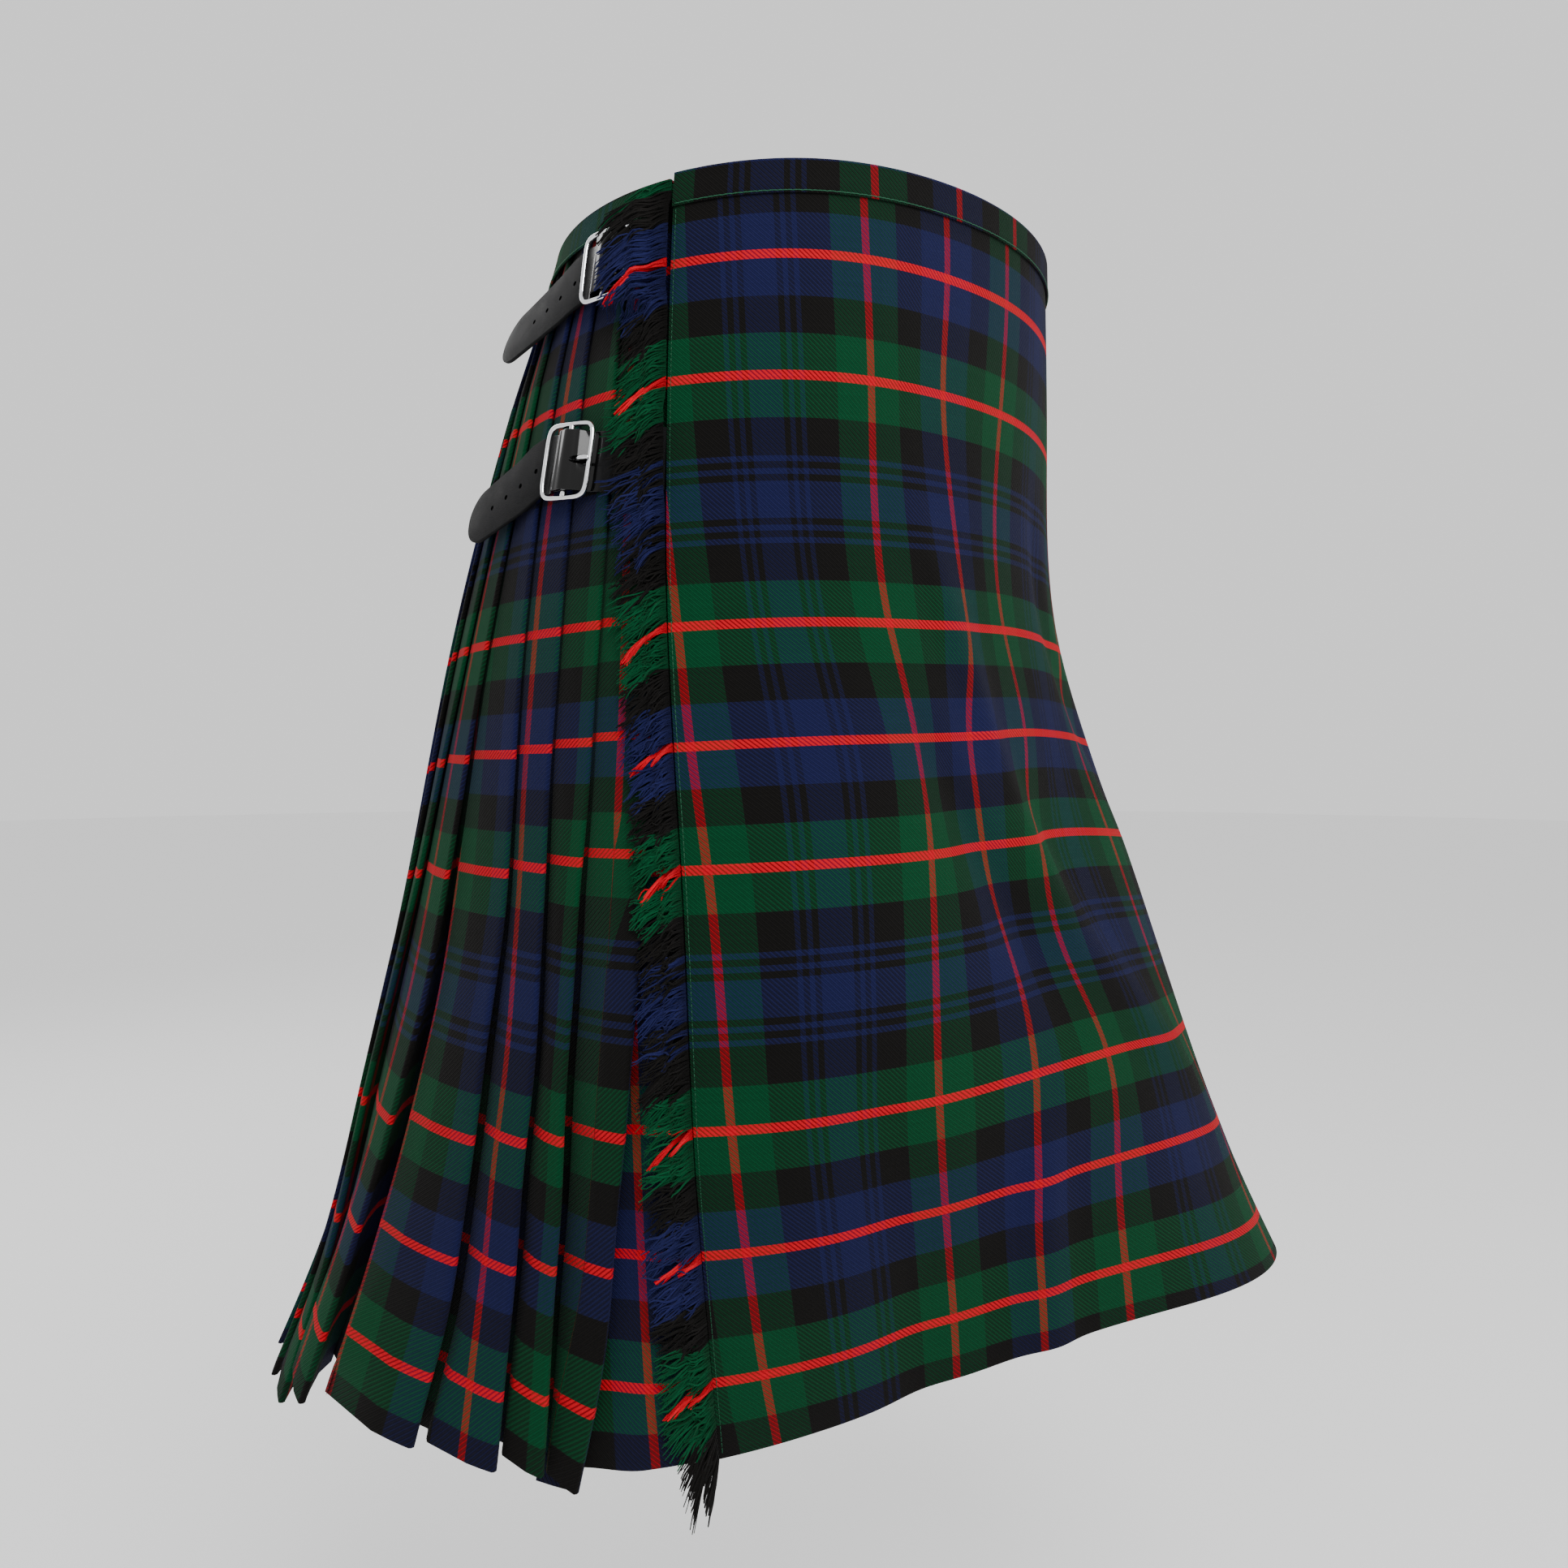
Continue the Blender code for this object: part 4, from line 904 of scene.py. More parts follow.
def make_under_apron():
    """Runs from behind the first pleat, sunk by the pleat's step, and rises to the over apron's back."""
    rows, before, behind = 110, 30, 130
    drops = np.linspace(0, KILT_DROP, rows)[:, None]
    start = edge("first_pleat", drops)
    radius = envelope_radius(start, drops)
    tucked = start + np.degrees(hidden_depth(drops) * FIRST_TAIL / radius)
    beside = apron_bearings(drops, 0.0)
    bearings = np.concatenate([
        tucked + (beside - tucked) * np.linspace(0, 1, before + 1)[None, :-1],
        apron_bearings(drops, np.linspace(0, UNDER_APRON_SHARE, behind)[None, :]),
    ], 1)
    ahead = np.radians(start - bearings) * radius
    sunk = (pleat_step(drops) + 0.4 * MM) * (1 - smooth_step(ahead, 0, 0.030)) + 0.1 * MM
    sunk = sunk + np.maximum(-ahead, 0) * pleat_slope(drops)
    depth = under_depth(drops) + sunk
    outer = place(bearings, drops, -depth)
    inner = place(bearings, drops, -depth - CLOTH)
    lengths = row_lengths(outer)
    from_edge = lengths - np.array([np.interp(-b, -row, run) for b, row, run
                                    in zip(beside[:, 0], bearings, lengths)])[:, None]
    across = from_edge + UNDER_PATTERN_START
    measure = np.stack(np.broadcast_arrays(across, drops + apron_grain(drops)), -1)
    made = add_piece("under_apron_cloth", *walled(outer, inner, measure), check_wool(), "wool",
                     ["under_apron"])
    return made


def pleat_ring(drop):
    """One ring of the pleated cloth's middle line: reach along the envelope, sink, rise and measure.

    For each pleat: a half circle round the fold edge, the page that sinks to the next fold edge, its
    hidden tail, a half circle round the inner turn, and the way back to the next fold edge. Below the
    stitched part the page bends deeper before the next edge and its hem rises towards it, and the
    edges wander a little. The first page is lapped over itself in its lower part.
    """
    reach, fine, lengths = fold_bearings(drop)
    loose = float(smooth_step(drop, FELL_DROP * 0.9, KILT_DROP))
    number = np.arange(PLEATS + 1)
    wander = np.sin(drop * 31 + number * 2.4) * 0.7 + np.sin(drop * 67 + number * 4.1) * 0.3
    edges = reach + wander * EDGE_WANDER * smooth_step(drop, FELL_DROP * 0.9, FELL_DROP * 1.8)
    widths = np.diff(edges)[:, None]
    starts, following = edges[:-1, None], edges[1:, None]
    number = number[:-1, None]
    step = float(pleat_step(drop))
    tail = np.full((PLEATS, 1), float(hidden_depth(drop)))
    tail[-1] = LAST_PAGE
    half = PLEAT_CLOTH / 2
    gap = PLEAT_CLOTH + PLEAT_GAP + LOOSE_GAP * loose
    turn = gap / 2
    slope = step / widths
    taper = PLEAT_PATTERN_TAPER * (1 - float(smooth_step(drop, 0.05, FELL_DROP)))
    pattern = PLEAT_PATTERN_START + number * (PLEAT_PATTERN_STEP + taper)
    lap = (number == 0) * float(smooth_step(drop, LAP_DROP - 0.06, LAP_DROP + 0.02))
    lap_share = LAP_SHARE + LAP_DRIFT * float(smooth_step(drop, 0.50, KILT_DROP))
    hang = float(smooth_step(drop, 0.22, 0.46))
    is_deep = number == DEEP_PLEAT
    deep = STITCHED_DIVE + (np.where(is_deep, DEEP_DIVE, LOOSE_DIVE) - STITCHED_DIVE) * hang
    dive_start = DIVE_START + (np.where(is_deep, DEEP_DIVE_START, LOOSE_DIVE_START) - DIVE_START) * hang
    # The deep page's cloth is pulled wide, so that its red stripe comes to lie where the dive starts.
    to_stripe = np.maximum(dive_start * widths, -pattern)
    held = np.minimum(to_stripe, np.maximum(DEEP_STRIPE, -pattern))
    pattern = np.where(is_deep, -held, pattern)
    pulled = np.where(is_deep, held / to_stripe, 1.0)

    angle = np.radians(np.array([-90, -130, 180, 130, 90]))[None, :]
    back = np.radians(np.array([180, 140, 90, 40, 0]))[None, :] * turn
    at = np.array([0.04, 0.14, 0.30, lap_share - 0.012, lap_share + 0.012, 0.90, 0.94, 0.97, 1.0])[None, :]
    share = np.where(is_deep & (at > 0.89), at - (1.0 - at) * hang, at)
    crown = (PAGE_CROWN + LOOSE_CROWN * loose) * (1 + 0.5 * np.sin(number * 1.9 + drop * 9))
    lapped = lap * (share > lap_share)
    page_sink = half + step * (share - crown * np.sin(math.pi * share))
    page_sink = page_sink + deep * smooth_step(share, dive_start, 1.02)
    page_sink = page_sink + lapped * LAP_SINK * (1 - share)
    beyond_lap = pattern + LAP_START + widths * (share - lap_share)
    page_u = pattern + widths * share * pulled
    page_u = page_u + lap * np.where(share > lap_share, beyond_lap - page_u, -LAP_CLOTH)

    end = following + tail
    bottom = half + slope * (end - starts) + deep
    tail_reach = following + tail * np.array([0.5, 1.0])[None, :]
    tail_sink = half + slope * (tail_reach - starts) + deep
    turn_reach = end + turn * TURN_BULGE * np.array([1.0, 0.0])[None, :]
    turn_sink = bottom - turn * np.array([1.0, 2.0])[None, :]
    return_reach = following + tail * np.array([0.6, 0.25])[None, :]
    along = (return_reach - following) / tail
    return_sink = half + gap + (bottom - gap - half - gap) * along
    next_pattern = np.concatenate([pattern[1:], pattern[-1:] + PLEAT_PATTERN_STEP + taper]) - math.pi * turn

    rise = float(np.interp(drop, *zip(*PAGE_RISE))) * MM
    hems = np.array([PLEAT_HEMS[min(i, len(PLEAT_HEMS) - 1)] for i in range(PLEATS + 1)]) * MM
    hems = (hems * float(smooth_step(drop, 0.45, KILT_DROP)))[:, None]
    base, following_base = hems[:-1], hems[1:]
    grain = natural_spline([row[0] * MM for row in PLEAT_GRAIN], [row[1:] for row in PLEAT_GRAIN], drop) * MM
    row = drop + grain[0] - grain[1] * np.minimum(number, PLEATS_ASKEW)
    blank = np.zeros((1, 2))
    fold_edge = (starts + turn * TURN_BULGE * np.cos(angle), half + turn - turn * np.sin(angle),
                 base + blank[:, :1] * angle, pattern - back - lap * LAP_CLOTH)
    page = (starts + widths * share, page_sink, base + rise * share, page_u)
    hidden_tail = (tail_reach, tail_sink, base + rise + blank, pattern + tail_reach - starts)
    inner_turn = (turn_reach, turn_sink, (base + rise + following_base) / 2 + blank,
                  next_pattern - tail + blank)
    way_back = (return_reach, return_sink, following_base + rise * along,
                next_pattern - (return_reach - following))
    parts = (fold_edge, page, hidden_tail, inner_turn, way_back)
    reach, sink, lift, across = (
        np.concatenate([np.broadcast_to(part[i], (PLEATS, part[0].shape[1])) for part in parts], 1)
        for i in range(4)
    )
    last = sum(part[0].shape[1] for part in parts[:3])
    keep = np.ones(reach.shape, bool)
    keep[-1, last:] = False
    sink[-1, last - 2:last] = np.minimum(sink[-1, last - 2:last], half + step + 1.0 * MM)
    down = np.broadcast_to(row, reach.shape)
    # The first fold also turns under, to the cloth that it comes from.
    first_tail = float(hidden_depth(drop)) * FIRST_TAIL
    lead = first_tail * np.array([1.0, 0.5])
    under = min(half + step + step / float(widths[0, 0]) * first_tail - gap,
                half + gap + step * first_tail / float(widths[0, 0]))
    lead_sink = np.array([under, (under + half + gap) / 2])
    lead_u = PLEAT_PATTERN_START - math.pi * turn - lead - float(lap[0, 0]) * LAP_CLOTH
    joined = [
        np.concatenate([first, rest[keep]]) for first, rest in (
            (float(starts[0, 0]) + lead, reach), (lead_sink, sink), (np.full(2, float(base[0, 0])), lift),
            (lead_u, across), (np.full(2, float(row[0, 0])), down))
    ]
    return (*joined, fine, lengths)


def make_pleats():
    """Carries the pleats' ring from waist to hem, offset by half the cloth to each side."""
    drops = np.concatenate([np.linspace(0, 0.08, 10)[:-1], np.linspace(0.08, KILT_DROP, 84)])
    outer, inner, measure = [], [], []
    for drop in drops:
        reach, sink, lift, across, down, fine, lengths = pleat_ring(drop)
        line = np.stack([reach, -sink], -1)
        run = np.diff(line, axis=0)
        run = run / np.linalg.norm(run, axis=1, keepdims=True)
        normals = np.stack([-run[:, 1], run[:, 0]], -1)
        before = np.concatenate([normals[:1], normals])
        after = np.concatenate([normals, normals[-1:]])
        mitre = before + after
        mitre = mitre / np.linalg.norm(mitre, axis=1, keepdims=True)
        offset = mitre * PLEAT_CLOTH / 2 / np.clip((mitre * after).sum(1), 0.75, 1.0)[:, None]
        beyond = (fine[-1] - fine[-2]) / (lengths[-1] - lengths[-2])
        for side, sign in ((outer, 1), (inner, -1)):
            moved = line + offset * sign
            bearing = np.interp(moved[:, 0], lengths, fine)
            bearing = bearing + np.maximum(moved[:, 0] - lengths[-1], 0) * beyond
            bearing = bearing + np.minimum(moved[:, 0], 0) * beyond
            points = place(bearing, np.full_like(bearing, drop), moved[:, 1] - under_depth(drop))
            points[:, 2] += lift
            side.append(points)
        measure.append(np.stack([across, down], -1))
    outer, inner, measure = np.array(outer), np.array(inner), np.array(measure)
    made = add_piece("pleated_cloth", *walled(outer, inner, measure), check_wool(), "wool", ["pleats"],
                     sharp=60)
    return made


def band_profile(wall_depth):
    """Out and drop round the binding's section: up its outer leg, over the edge and down its inner leg."""
    turn = np.radians(np.linspace(0, 180, 9))
    outer_half = (wall_depth + 2 * BAND_GAP) / 2 + BAND_CLOTH
    inner_half = outer_half - BAND_CLOTH
    crest = -BAND_GAP
    leg = np.linspace(BAND_HEIGHT, 0, 5)
    short = np.linspace(0, BAND_HEIGHT * BAND_INNER_LEG, 4)
    outside = [
        (outer_half - BAND_CLOTH * 0.75, BAND_HEIGHT + 0.1 * MM),
        (outer_half - BAND_CLOTH * 0.2, BAND_HEIGHT),
        (outer_half, BAND_HEIGHT - 0.6 * MM),
    ]
    outside += [(outer_half, d) for d in leg[1:]]
    outside += [(outer_half * math.cos(a), crest - BAND_CLOTH * math.sin(a)) for a in turn]
    outside += [(-outer_half, d) for d in short]
    inside = [(-inner_half, d) for d in short[::-1]]
    inside += [(inner_half * math.cos(a), crest + 0.05 * MM) for a in turn[::-1]]
    inside += [(inner_half, d) for d in leg[::-1]]
    points = np.array(outside + inside)
    points[:, 0] -= wall_depth / 2
    return points


def make_band(name, bearings, out, wall_depth, shift, top_row, node):
    """Carries the binding's section along the top edge. Its check is cut apart from the panel's."""
    profile = band_profile(wall_depth)
    drops = np.broadcast_to(profile[None, :, 1], (len(bearings), len(profile)))
    far = out + profile[None, :, 0]
    rings = place(bearings[:, None], drops, far)
    middle = place(bearings, 0.0, out)
    across = runs_along(middle) + shift
    down = top_row + BAND_HEIGHT - runs_along(profile)
    measure = np.stack(np.broadcast_arrays(across[:, None], down[None, :]), -1)
    made = add_piece(name, *lofted(rings, measure), check_wool(), "wool", [node])
    return made


def edges_below_bands():
    """Bearings of the four upright edges at the bindings' lower edge."""
    return (float(edge(name, BAND_HEIGHT)) for name in EDGE_COLUMNS[1:])


def make_bands():
    """The bindings of the over apron, the pleats and the under apron."""
    right, left, first, last = edges_below_bands()
    free = right + (left - right) * UNDER_APRON_SHARE
    folded = WAIST_STEP + PLEAT_CLOTH + PLEAT_STACK
    under = -float(under_depth(0.0))
    over_bearings = np.linspace(right, left, 150)
    edge_runs = runs_along(place(over_bearings, 0.0))
    to_stripe = float(np.interp(-HUNG_STRIPES[0][4], -over_bearings, edge_runs))
    make_band("over_apron_band", over_bearings, 0.0, CLOTH, -to_stripe + BAND_SHIFT, BAND_ROW_OVER,
              "waistband_over")
    make_band("pleats_band", np.linspace(first - 1.0, last + 8.0, 170), under, folded, PLEAT_BAND_SHIFT,
              BAND_ROW_PLEATS, "waistband_pleats")
    make_band("under_apron_band", np.linspace(first - 12.0, free, 120), under - 0.1 * MM, CLOTH, 0.0,
              BAND_ROW_OVER, "waistband_under")


def strap_lift(drop):
    """Raises the fringe where a strap comes out from beneath it."""
    lift = 0.0
    for row in STRAPS:
        strap = dict(zip(STRAP_COLUMNS, row))
        if strap["way"] > 0:
            off = np.abs(np.asarray(drop) - strap["drop"] * MM)
            near, far = STRAP_WIDTH / 2 + 3 * MM, STRAP_WIDTH / 2 + 14 * MM
            lift = lift + (STRAP_THICK + 0.9 * MM) * (1 - smooth_step(off, near, far))
    return lift


def over_buckle(drop, distance):
    """Raises yarns where they lie over the part of a buckle that is nearest to the apron's edge."""
    lift = 0.0
    for row in STRAPS:
        strap = dict(zip(STRAP_COLUMNS, row))
        if strap["way"] > 0:
            off = np.abs(np.asarray(drop) - strap["drop"] * MM)
            beside = 1 - smooth_step(off, BUCKLE_HEIGHT / 2 + 4 * MM, BUCKLE_HEIGHT / 2 + 10 * MM)
            start = strap["to_edge"] * MM - BUCKLE_LENGTH / 2
            lift = lift + OVER_BUCKLE * beside * smooth_step(distance, start - 7 * MM, start - 1 * MM)
    return lift


def red_rows():
    """Drops at which the weft's red rows meet the apron's fringed edge."""
    drops = np.linspace(0, KILT_DROP, 601)
    rows = drops + apron_grain(drops)
    aside = second_red_share() * SETT_DOWN
    repeats = np.arange(-1, 4) * SETT_DOWN + FIRST_RED_ROW
    places = np.sort(np.concatenate([repeats - aside, repeats, repeats + aside]))
    found = np.interp(places, rows, drops)
    return found[(places > rows[0]) & (places < rows[-1])]


def tuft_edges(width, total, rng):
    """Drops at which one tuft ends and the next starts: uneven, with one whole tuft at each red row."""
    edges = np.cumsum(rng.uniform(0.55, 1.45, int(total / width) + 6) * width)
    for row in red_rows():
        edges = edges[np.abs(edges - row) > RED_TUFT + 0.8 * MM]
        edges = np.concatenate([edges, [row - RED_TUFT, row + RED_TUFT]])
    return np.sort(edges)


def make_fringe(fringe):
    """Loose weft yarns pulled out of the apron's edge, one tube each.

    A yarn leaves the edge at its row, arches over a low crest, sags by the droop and ends a little
    higher or lower than its neighbours. Yarns of one tuft lean together and draw in towards its
    middle, most of all at a red row, and each one wanders by two sines of its own. Towards the hem
    the yarns hang down more and more, until the last ones fall straight.
    """
    settings = bpy.context.scene.kilt_fringe
    start, reach, out, crest, droop = (fringe[column] * MM for column in FRINGE_COLUMNS[1:6])
    rng = np.random.default_rng(fringe["seed"])
    count, stations = settings.yarns_a_row, YARN_STATIONS
    rows = np.linspace(2.5 * MM, KILT_DROP - 0.5 * MM, count)
    edges = tuft_edges(settings.tuft_width, KILT_DROP, rng)
    tuft = np.searchsorted(edges, rows)
    tufts = tuft.max() + 1
    bounds = np.concatenate([[0.0], edges, [KILT_DROP]])
    middle = (bounds[tuft] + bounds[tuft + 1]) / 2
    red = np.min(np.abs(middle[:, None] - red_rows()[None, :]), 1) < 0.6 * MM
    hang = smooth_step(rows, KILT_DROP - HANG_HEIGHT, KILT_DROP)
    lean = rng.normal(0, 1.5 * MM, tufts)[tuft]
    tuft_length = np.where(red, 0.86, rng.uniform(0.86, 1.08, tufts)[tuft])
    tuft_rise = np.where(red, 1.3 * MM, rng.uniform(0.0, 1.0 * MM, tufts)[tuft])
    worn = 1 - 0.16 * smooth_step(rows, 0.12, 0.32)
    length = reach * tuft_length * rng.uniform(0.84, 1.06, count) * worn
    covers = over_buckle(rows + droop, reach) > 0.3 * OVER_BUCKLE
    length = (length + BUCKLE_COVER * covers) * (1 - 0.5 * hang)
    gather = (middle - rows) * np.where(red, 0.85, 0.26)
    share = np.linspace(0, 1, stations)[None, :]
    distance = start + (length - start)[:, None] * share
    loose = np.where(red, 0.45, 1.0)[:, None]
    swing = loose * rng.normal(0, 1.1 * MM, count)[:, None] * np.sin(
        share * 4.0 + rng.uniform(0, 6.3, count)[:, None])
    curl = loose * rng.normal(0, 0.9 * MM, count)[:, None] * np.sin(
        share * 10.0 + rng.uniform(0, 6.3, count)[:, None])
    sag = droop * np.where(red, 1.3, rng.uniform(0.4, 1.6, count))
    sag = sag + hang * settings.below_hem * rng.uniform(0.45, 1.1, count)
    fall = (sag + lean)[:, None] * share**1.4
    fall = fall + gather[:, None] * np.sin(math.pi / 2 * np.minimum(share * 1.6, 1))
    drops = np.maximum(rows[:, None] + fall + (swing + curl) * share, 1.0 * MM)
    arch = crest * rng.uniform(0.4, 1.3, count)[:, None] * np.sin(math.pi * np.minimum(share * 1.05, 1.0))
    layer = rng.uniform(0, 1.2 * MM, count)[:, None] + tuft_rise[:, None] * np.sin(math.pi * share * 0.8)
    within = np.minimum(drops, KILT_DROP)
    radius = envelope_radius(edge("fringed_edge", within), within)
    bearing = edge("fringed_edge", within) + np.degrees(distance / radius)
    raised = strap_lift(drops) + over_buckle(drops, distance)
    points = place(bearing, within, out + raised + arch + layer)
    points[..., 2] -= drops - within
    thick = rng.uniform(THIN_YARN, THICK_YARN, count)[:, None] * (1 - 0.45 * share**4)
    thick = thick * np.where(red, 1.25, 1.0)[:, None]
    corners = tubes(points, thick, 4)
    # Each yarn has its own random tone.
    yarn_tone_and_root_shade = rng.uniform(0.40, 1.05, count)[:, None, None] * np.ones((count, stations, 4))
    # Painted shade: each yarn is darkened towards its root at the apron's edge.
    yarn_tone_and_root_shade = yarn_tone_and_root_shade * (0.18 + 0.90 * smooth_step(share, -0.05, 0.55))[:, :, None]
    woven_row = np.where(red, middle, rows) + apron_grain(rows)
    measure = np.stack([yarn_tone_and_root_shade, np.broadcast_to(woven_row[:, None, None], yarn_tone_and_root_shade.shape)], -1)
    return add_piece(fringe["name"], corners, tube_quads(count, stations, 4), measure, fringe_wool(), "wool",
                     [fringe["node"]], sharp=80)


def strap_frame(strap, runs):
    """Points and axes along a strap's line, at runs measured from the buckle away from the apron."""
    drop = strap["drop"] * MM
    fine = strap["buckle_bearing"] + strap["way"] * np.linspace(-30, 45, 301)
    level_path = place(fine, drop, -under_depth(drop))
    lengths = runs_along(level_path)
    lengths = lengths - np.interp(0, strap["way"] * (fine - strap["buckle_bearing"]), lengths)

    def at(run, lower=0.0):
        """Points on the strap's line, or lower than it, which droops past the buckle."""
        past = np.maximum(run - BUCKLE_LENGTH / 2, 0)
        droop = strap["droop"] * past * smooth_step(past, -8 * MM, 22 * MM)
        drops = drop + strap["tilt"] * run + droop + lower
        return place(np.interp(run, lengths, fine), drops, -under_depth(drops))

    def unit(vectors):
        """Vectors of length one."""
        return vectors / np.linalg.norm(vectors, axis=1, keepdims=True)

    runs = np.asarray(runs, float)
    along = unit(at(runs + 3 * MM) - at(runs - 3 * MM))
    out = unit(np.cross(along, at(runs, 8 * MM) - at(runs, -8 * MM)) * strap["way"])
    down = np.cross(out, along) * strap["way"]
    return at(runs), along, down, out


def buckle_height():
    """Height of the middle of a buckle's frame above the outer face of the under layers."""
    return TAB_THICK + STRAP_THICK + 3 * SEAM_GAP + BUCKLE_WIRE + 0.1 * MM


def strap_heights(strap, runs):
    """Height of the strap's middle: under the front bar, over the centre bar, under the rear bar."""
    runs = np.asarray(runs, float)
    to_edge = strap["to_edge"] * MM
    under = TAB_THICK + 2 * SEAM_GAP + STRAP_THICK / 2
    over = buckle_height() + BUCKLE_BAR + SEAM_GAP + STRAP_THICK / 2 + 0.1 * MM
    flat = SEAM_GAP + STRAP_THICK / 2 + 0.1 * MM
    bar = BUCKLE_LENGTH / 2 - BUCKLE_WIRE
    knots = np.array([-to_edge, -bar - 6 * MM, -bar + 2 * MM, -4.5 * MM, 0, 4.5 * MM, bar - 2.4 * MM, 0.1])
    heights = np.array([flat, flat + 0.2 * MM, flat + 0.8 * MM, over - 1.6 * MM, over, over - 1.2 * MM,
                        under, under])
    share = np.clip(np.searchsorted(knots, runs, side="right") - 1, 0, len(knots) - 2)
    t = (runs - knots[share]) / (knots[share + 1] - knots[share])
    t = t * t * (3 - 2 * t)
    free = np.maximum(runs - bar - 12 * MM, 0)
    return heights[share] * (1 - t) + heights[share + 1] * t + free**2 / (2 * strap["spring"] * MM)


def slab_ring(half, thick, corner):
    """A flat strap's sections: across and up at the corners of a slab with rounded edges."""
    turn = np.radians(np.arange(0, 90, 22.5) + 11.25)
    quarter = np.stack([np.cos(turn), np.sin(turn)], -1)
    parts = []
    for side, rise, flip in ((1, 1, False), (-1, 1, True), (-1, -1, False), (1, -1, True)):
        arc = quarter[::-1] if flip else quarter
        parts.append(np.stack([side * (half[:, None] - corner + corner * arc[None, :, 0]),
                               np.broadcast_to(rise * (thick / 2 - corner + corner * arc[None, :, 1]),
                                               (len(half), len(arc)))], -1))
    return np.concatenate(parts, 1)


def strap_like(name, strap, runs, half, height, thick, node, holes=()):
    """Carries a slab section along a strap's line, and cuts round holes through it."""
    base, _, down, out = strap_frame(strap, runs)
    section = slab_ring(half, thick, min(0.45 * thick, 0.6 * MM))
    rings = base[:, None] + down[:, None] * section[..., :1]
    rings = rings + out[:, None] * (height[:, None, None] + section[..., 1:])
    measure = np.stack(np.broadcast_arrays(runs[:, None], section[..., 0]), -1)
    made = add_piece(name, *lofted(rings, measure), strap_leather(), "leather", [node], sharp=50)
    cutters = []
    for run, radius, stretch in holes:
        at, ahead, fall, away = (part[0] for part in strap_frame(strap, [run]))
        turn = np.arange(20) / 20 * 2 * math.pi
        disc = ahead * stretch * radius * np.cos(turn)[:, None] + fall * radius * np.sin(turn)[:, None]
        centre = at + away * strap_heights(strap, [run])[0]
        corners = np.stack([centre + disc - away * 5 * MM, centre + disc + away * 5 * MM])
        mesh = bpy.data.meshes.new(name + "_hole")
        faces = tube_quads(1, 2, 20)
        points = corners.reshape(-1, 3)
        volume = np.linalg.det(points[faces[:, :3]]).sum()
        mesh.from_pydata(points.tolist(), [], (faces if volume > 0 else faces[:, ::-1]).tolist())
        cutter = bpy.data.objects.new(name + "_hole", mesh)
        bpy.context.scene.collection.objects.link(cutter)
        cut = made.modifiers.new("Hole", "BOOLEAN")
        cut.object = cutter
        cutters.append(cutter)
    if cutters:
        bpy.context.view_layer.update()
        evaluated = made.evaluated_get(bpy.context.evaluated_depsgraph_get())
        finished = bpy.data.meshes.new_from_object(evaluated)
        made.modifiers.clear()
        made.data = finished
        for cutter in cutters:
            bpy.data.objects.remove(cutter)
    return made


def make_strap(strap):
    """A leather strap with rounded edges, a round tip, its holes, and a slot for its prong."""
    to_edge, to_tip = strap["to_edge"] * MM, strap["to_tip"] * MM
    round_end = STRAP_WIDTH * 0.46
    runs = np.concatenate([
        np.linspace(-to_edge, to_tip - round_end, 150)[:-1],
        to_tip - round_end * (1 - np.sin(np.linspace(0, 0.985, 18) * math.pi / 2)),
    ])
    tail = np.clip((runs - (to_tip - round_end)) / round_end, 0, 1)
    half = STRAP_WIDTH / 2 * (0.10 + 0.90 * np.sqrt(np.maximum(1 - tail**2, 0)))
    first_hole = BUCKLE_LENGTH / 2 + HOLE_START
    holes = [(first_hole + HOLE_SPACING * i, HOLE_RADIUS, 1.0) for i in range(HOLES)]
    holes.append((-BUCKLE_LENGTH / 4 + 1.0 * MM, SLOT_RADIUS, SLOT_STRETCH))
    name = strap["name"]
    strap_like(f"leather_strap_{name}", strap, runs, half, strap_heights(strap, runs), STRAP_THICK,
               f"strap_{name}", holes)


def make_tab(strap):
    """The short leather tab that carries the buckle's centre bar, beneath the strap's free end."""
    bar = buckle_height() - BUCKLE_BAR - SEAM_GAP - TAB_THICK / 2 - 0.1 * MM
    flat = SEAM_GAP + TAB_THICK / 2
    knots = np.array([-1.5, 1.5, 4.5, 7.5, 10.0, 16.0, 22.0, 28.0]) * MM
    heights = np.array([bar, bar, bar - 1.2 * MM, flat + 0.3 * MM, flat, flat, flat, flat])
    runs = np.linspace(knots[0], knots[-1], 40)
    half = np.full_like(runs, TAB_WIDTH / 2)
    name = strap["name"]
    strap_like(f"leather_tab_{name}", strap, runs, half, np.interp(runs, knots, heights), TAB_THICK,
               f"tab_{name}")


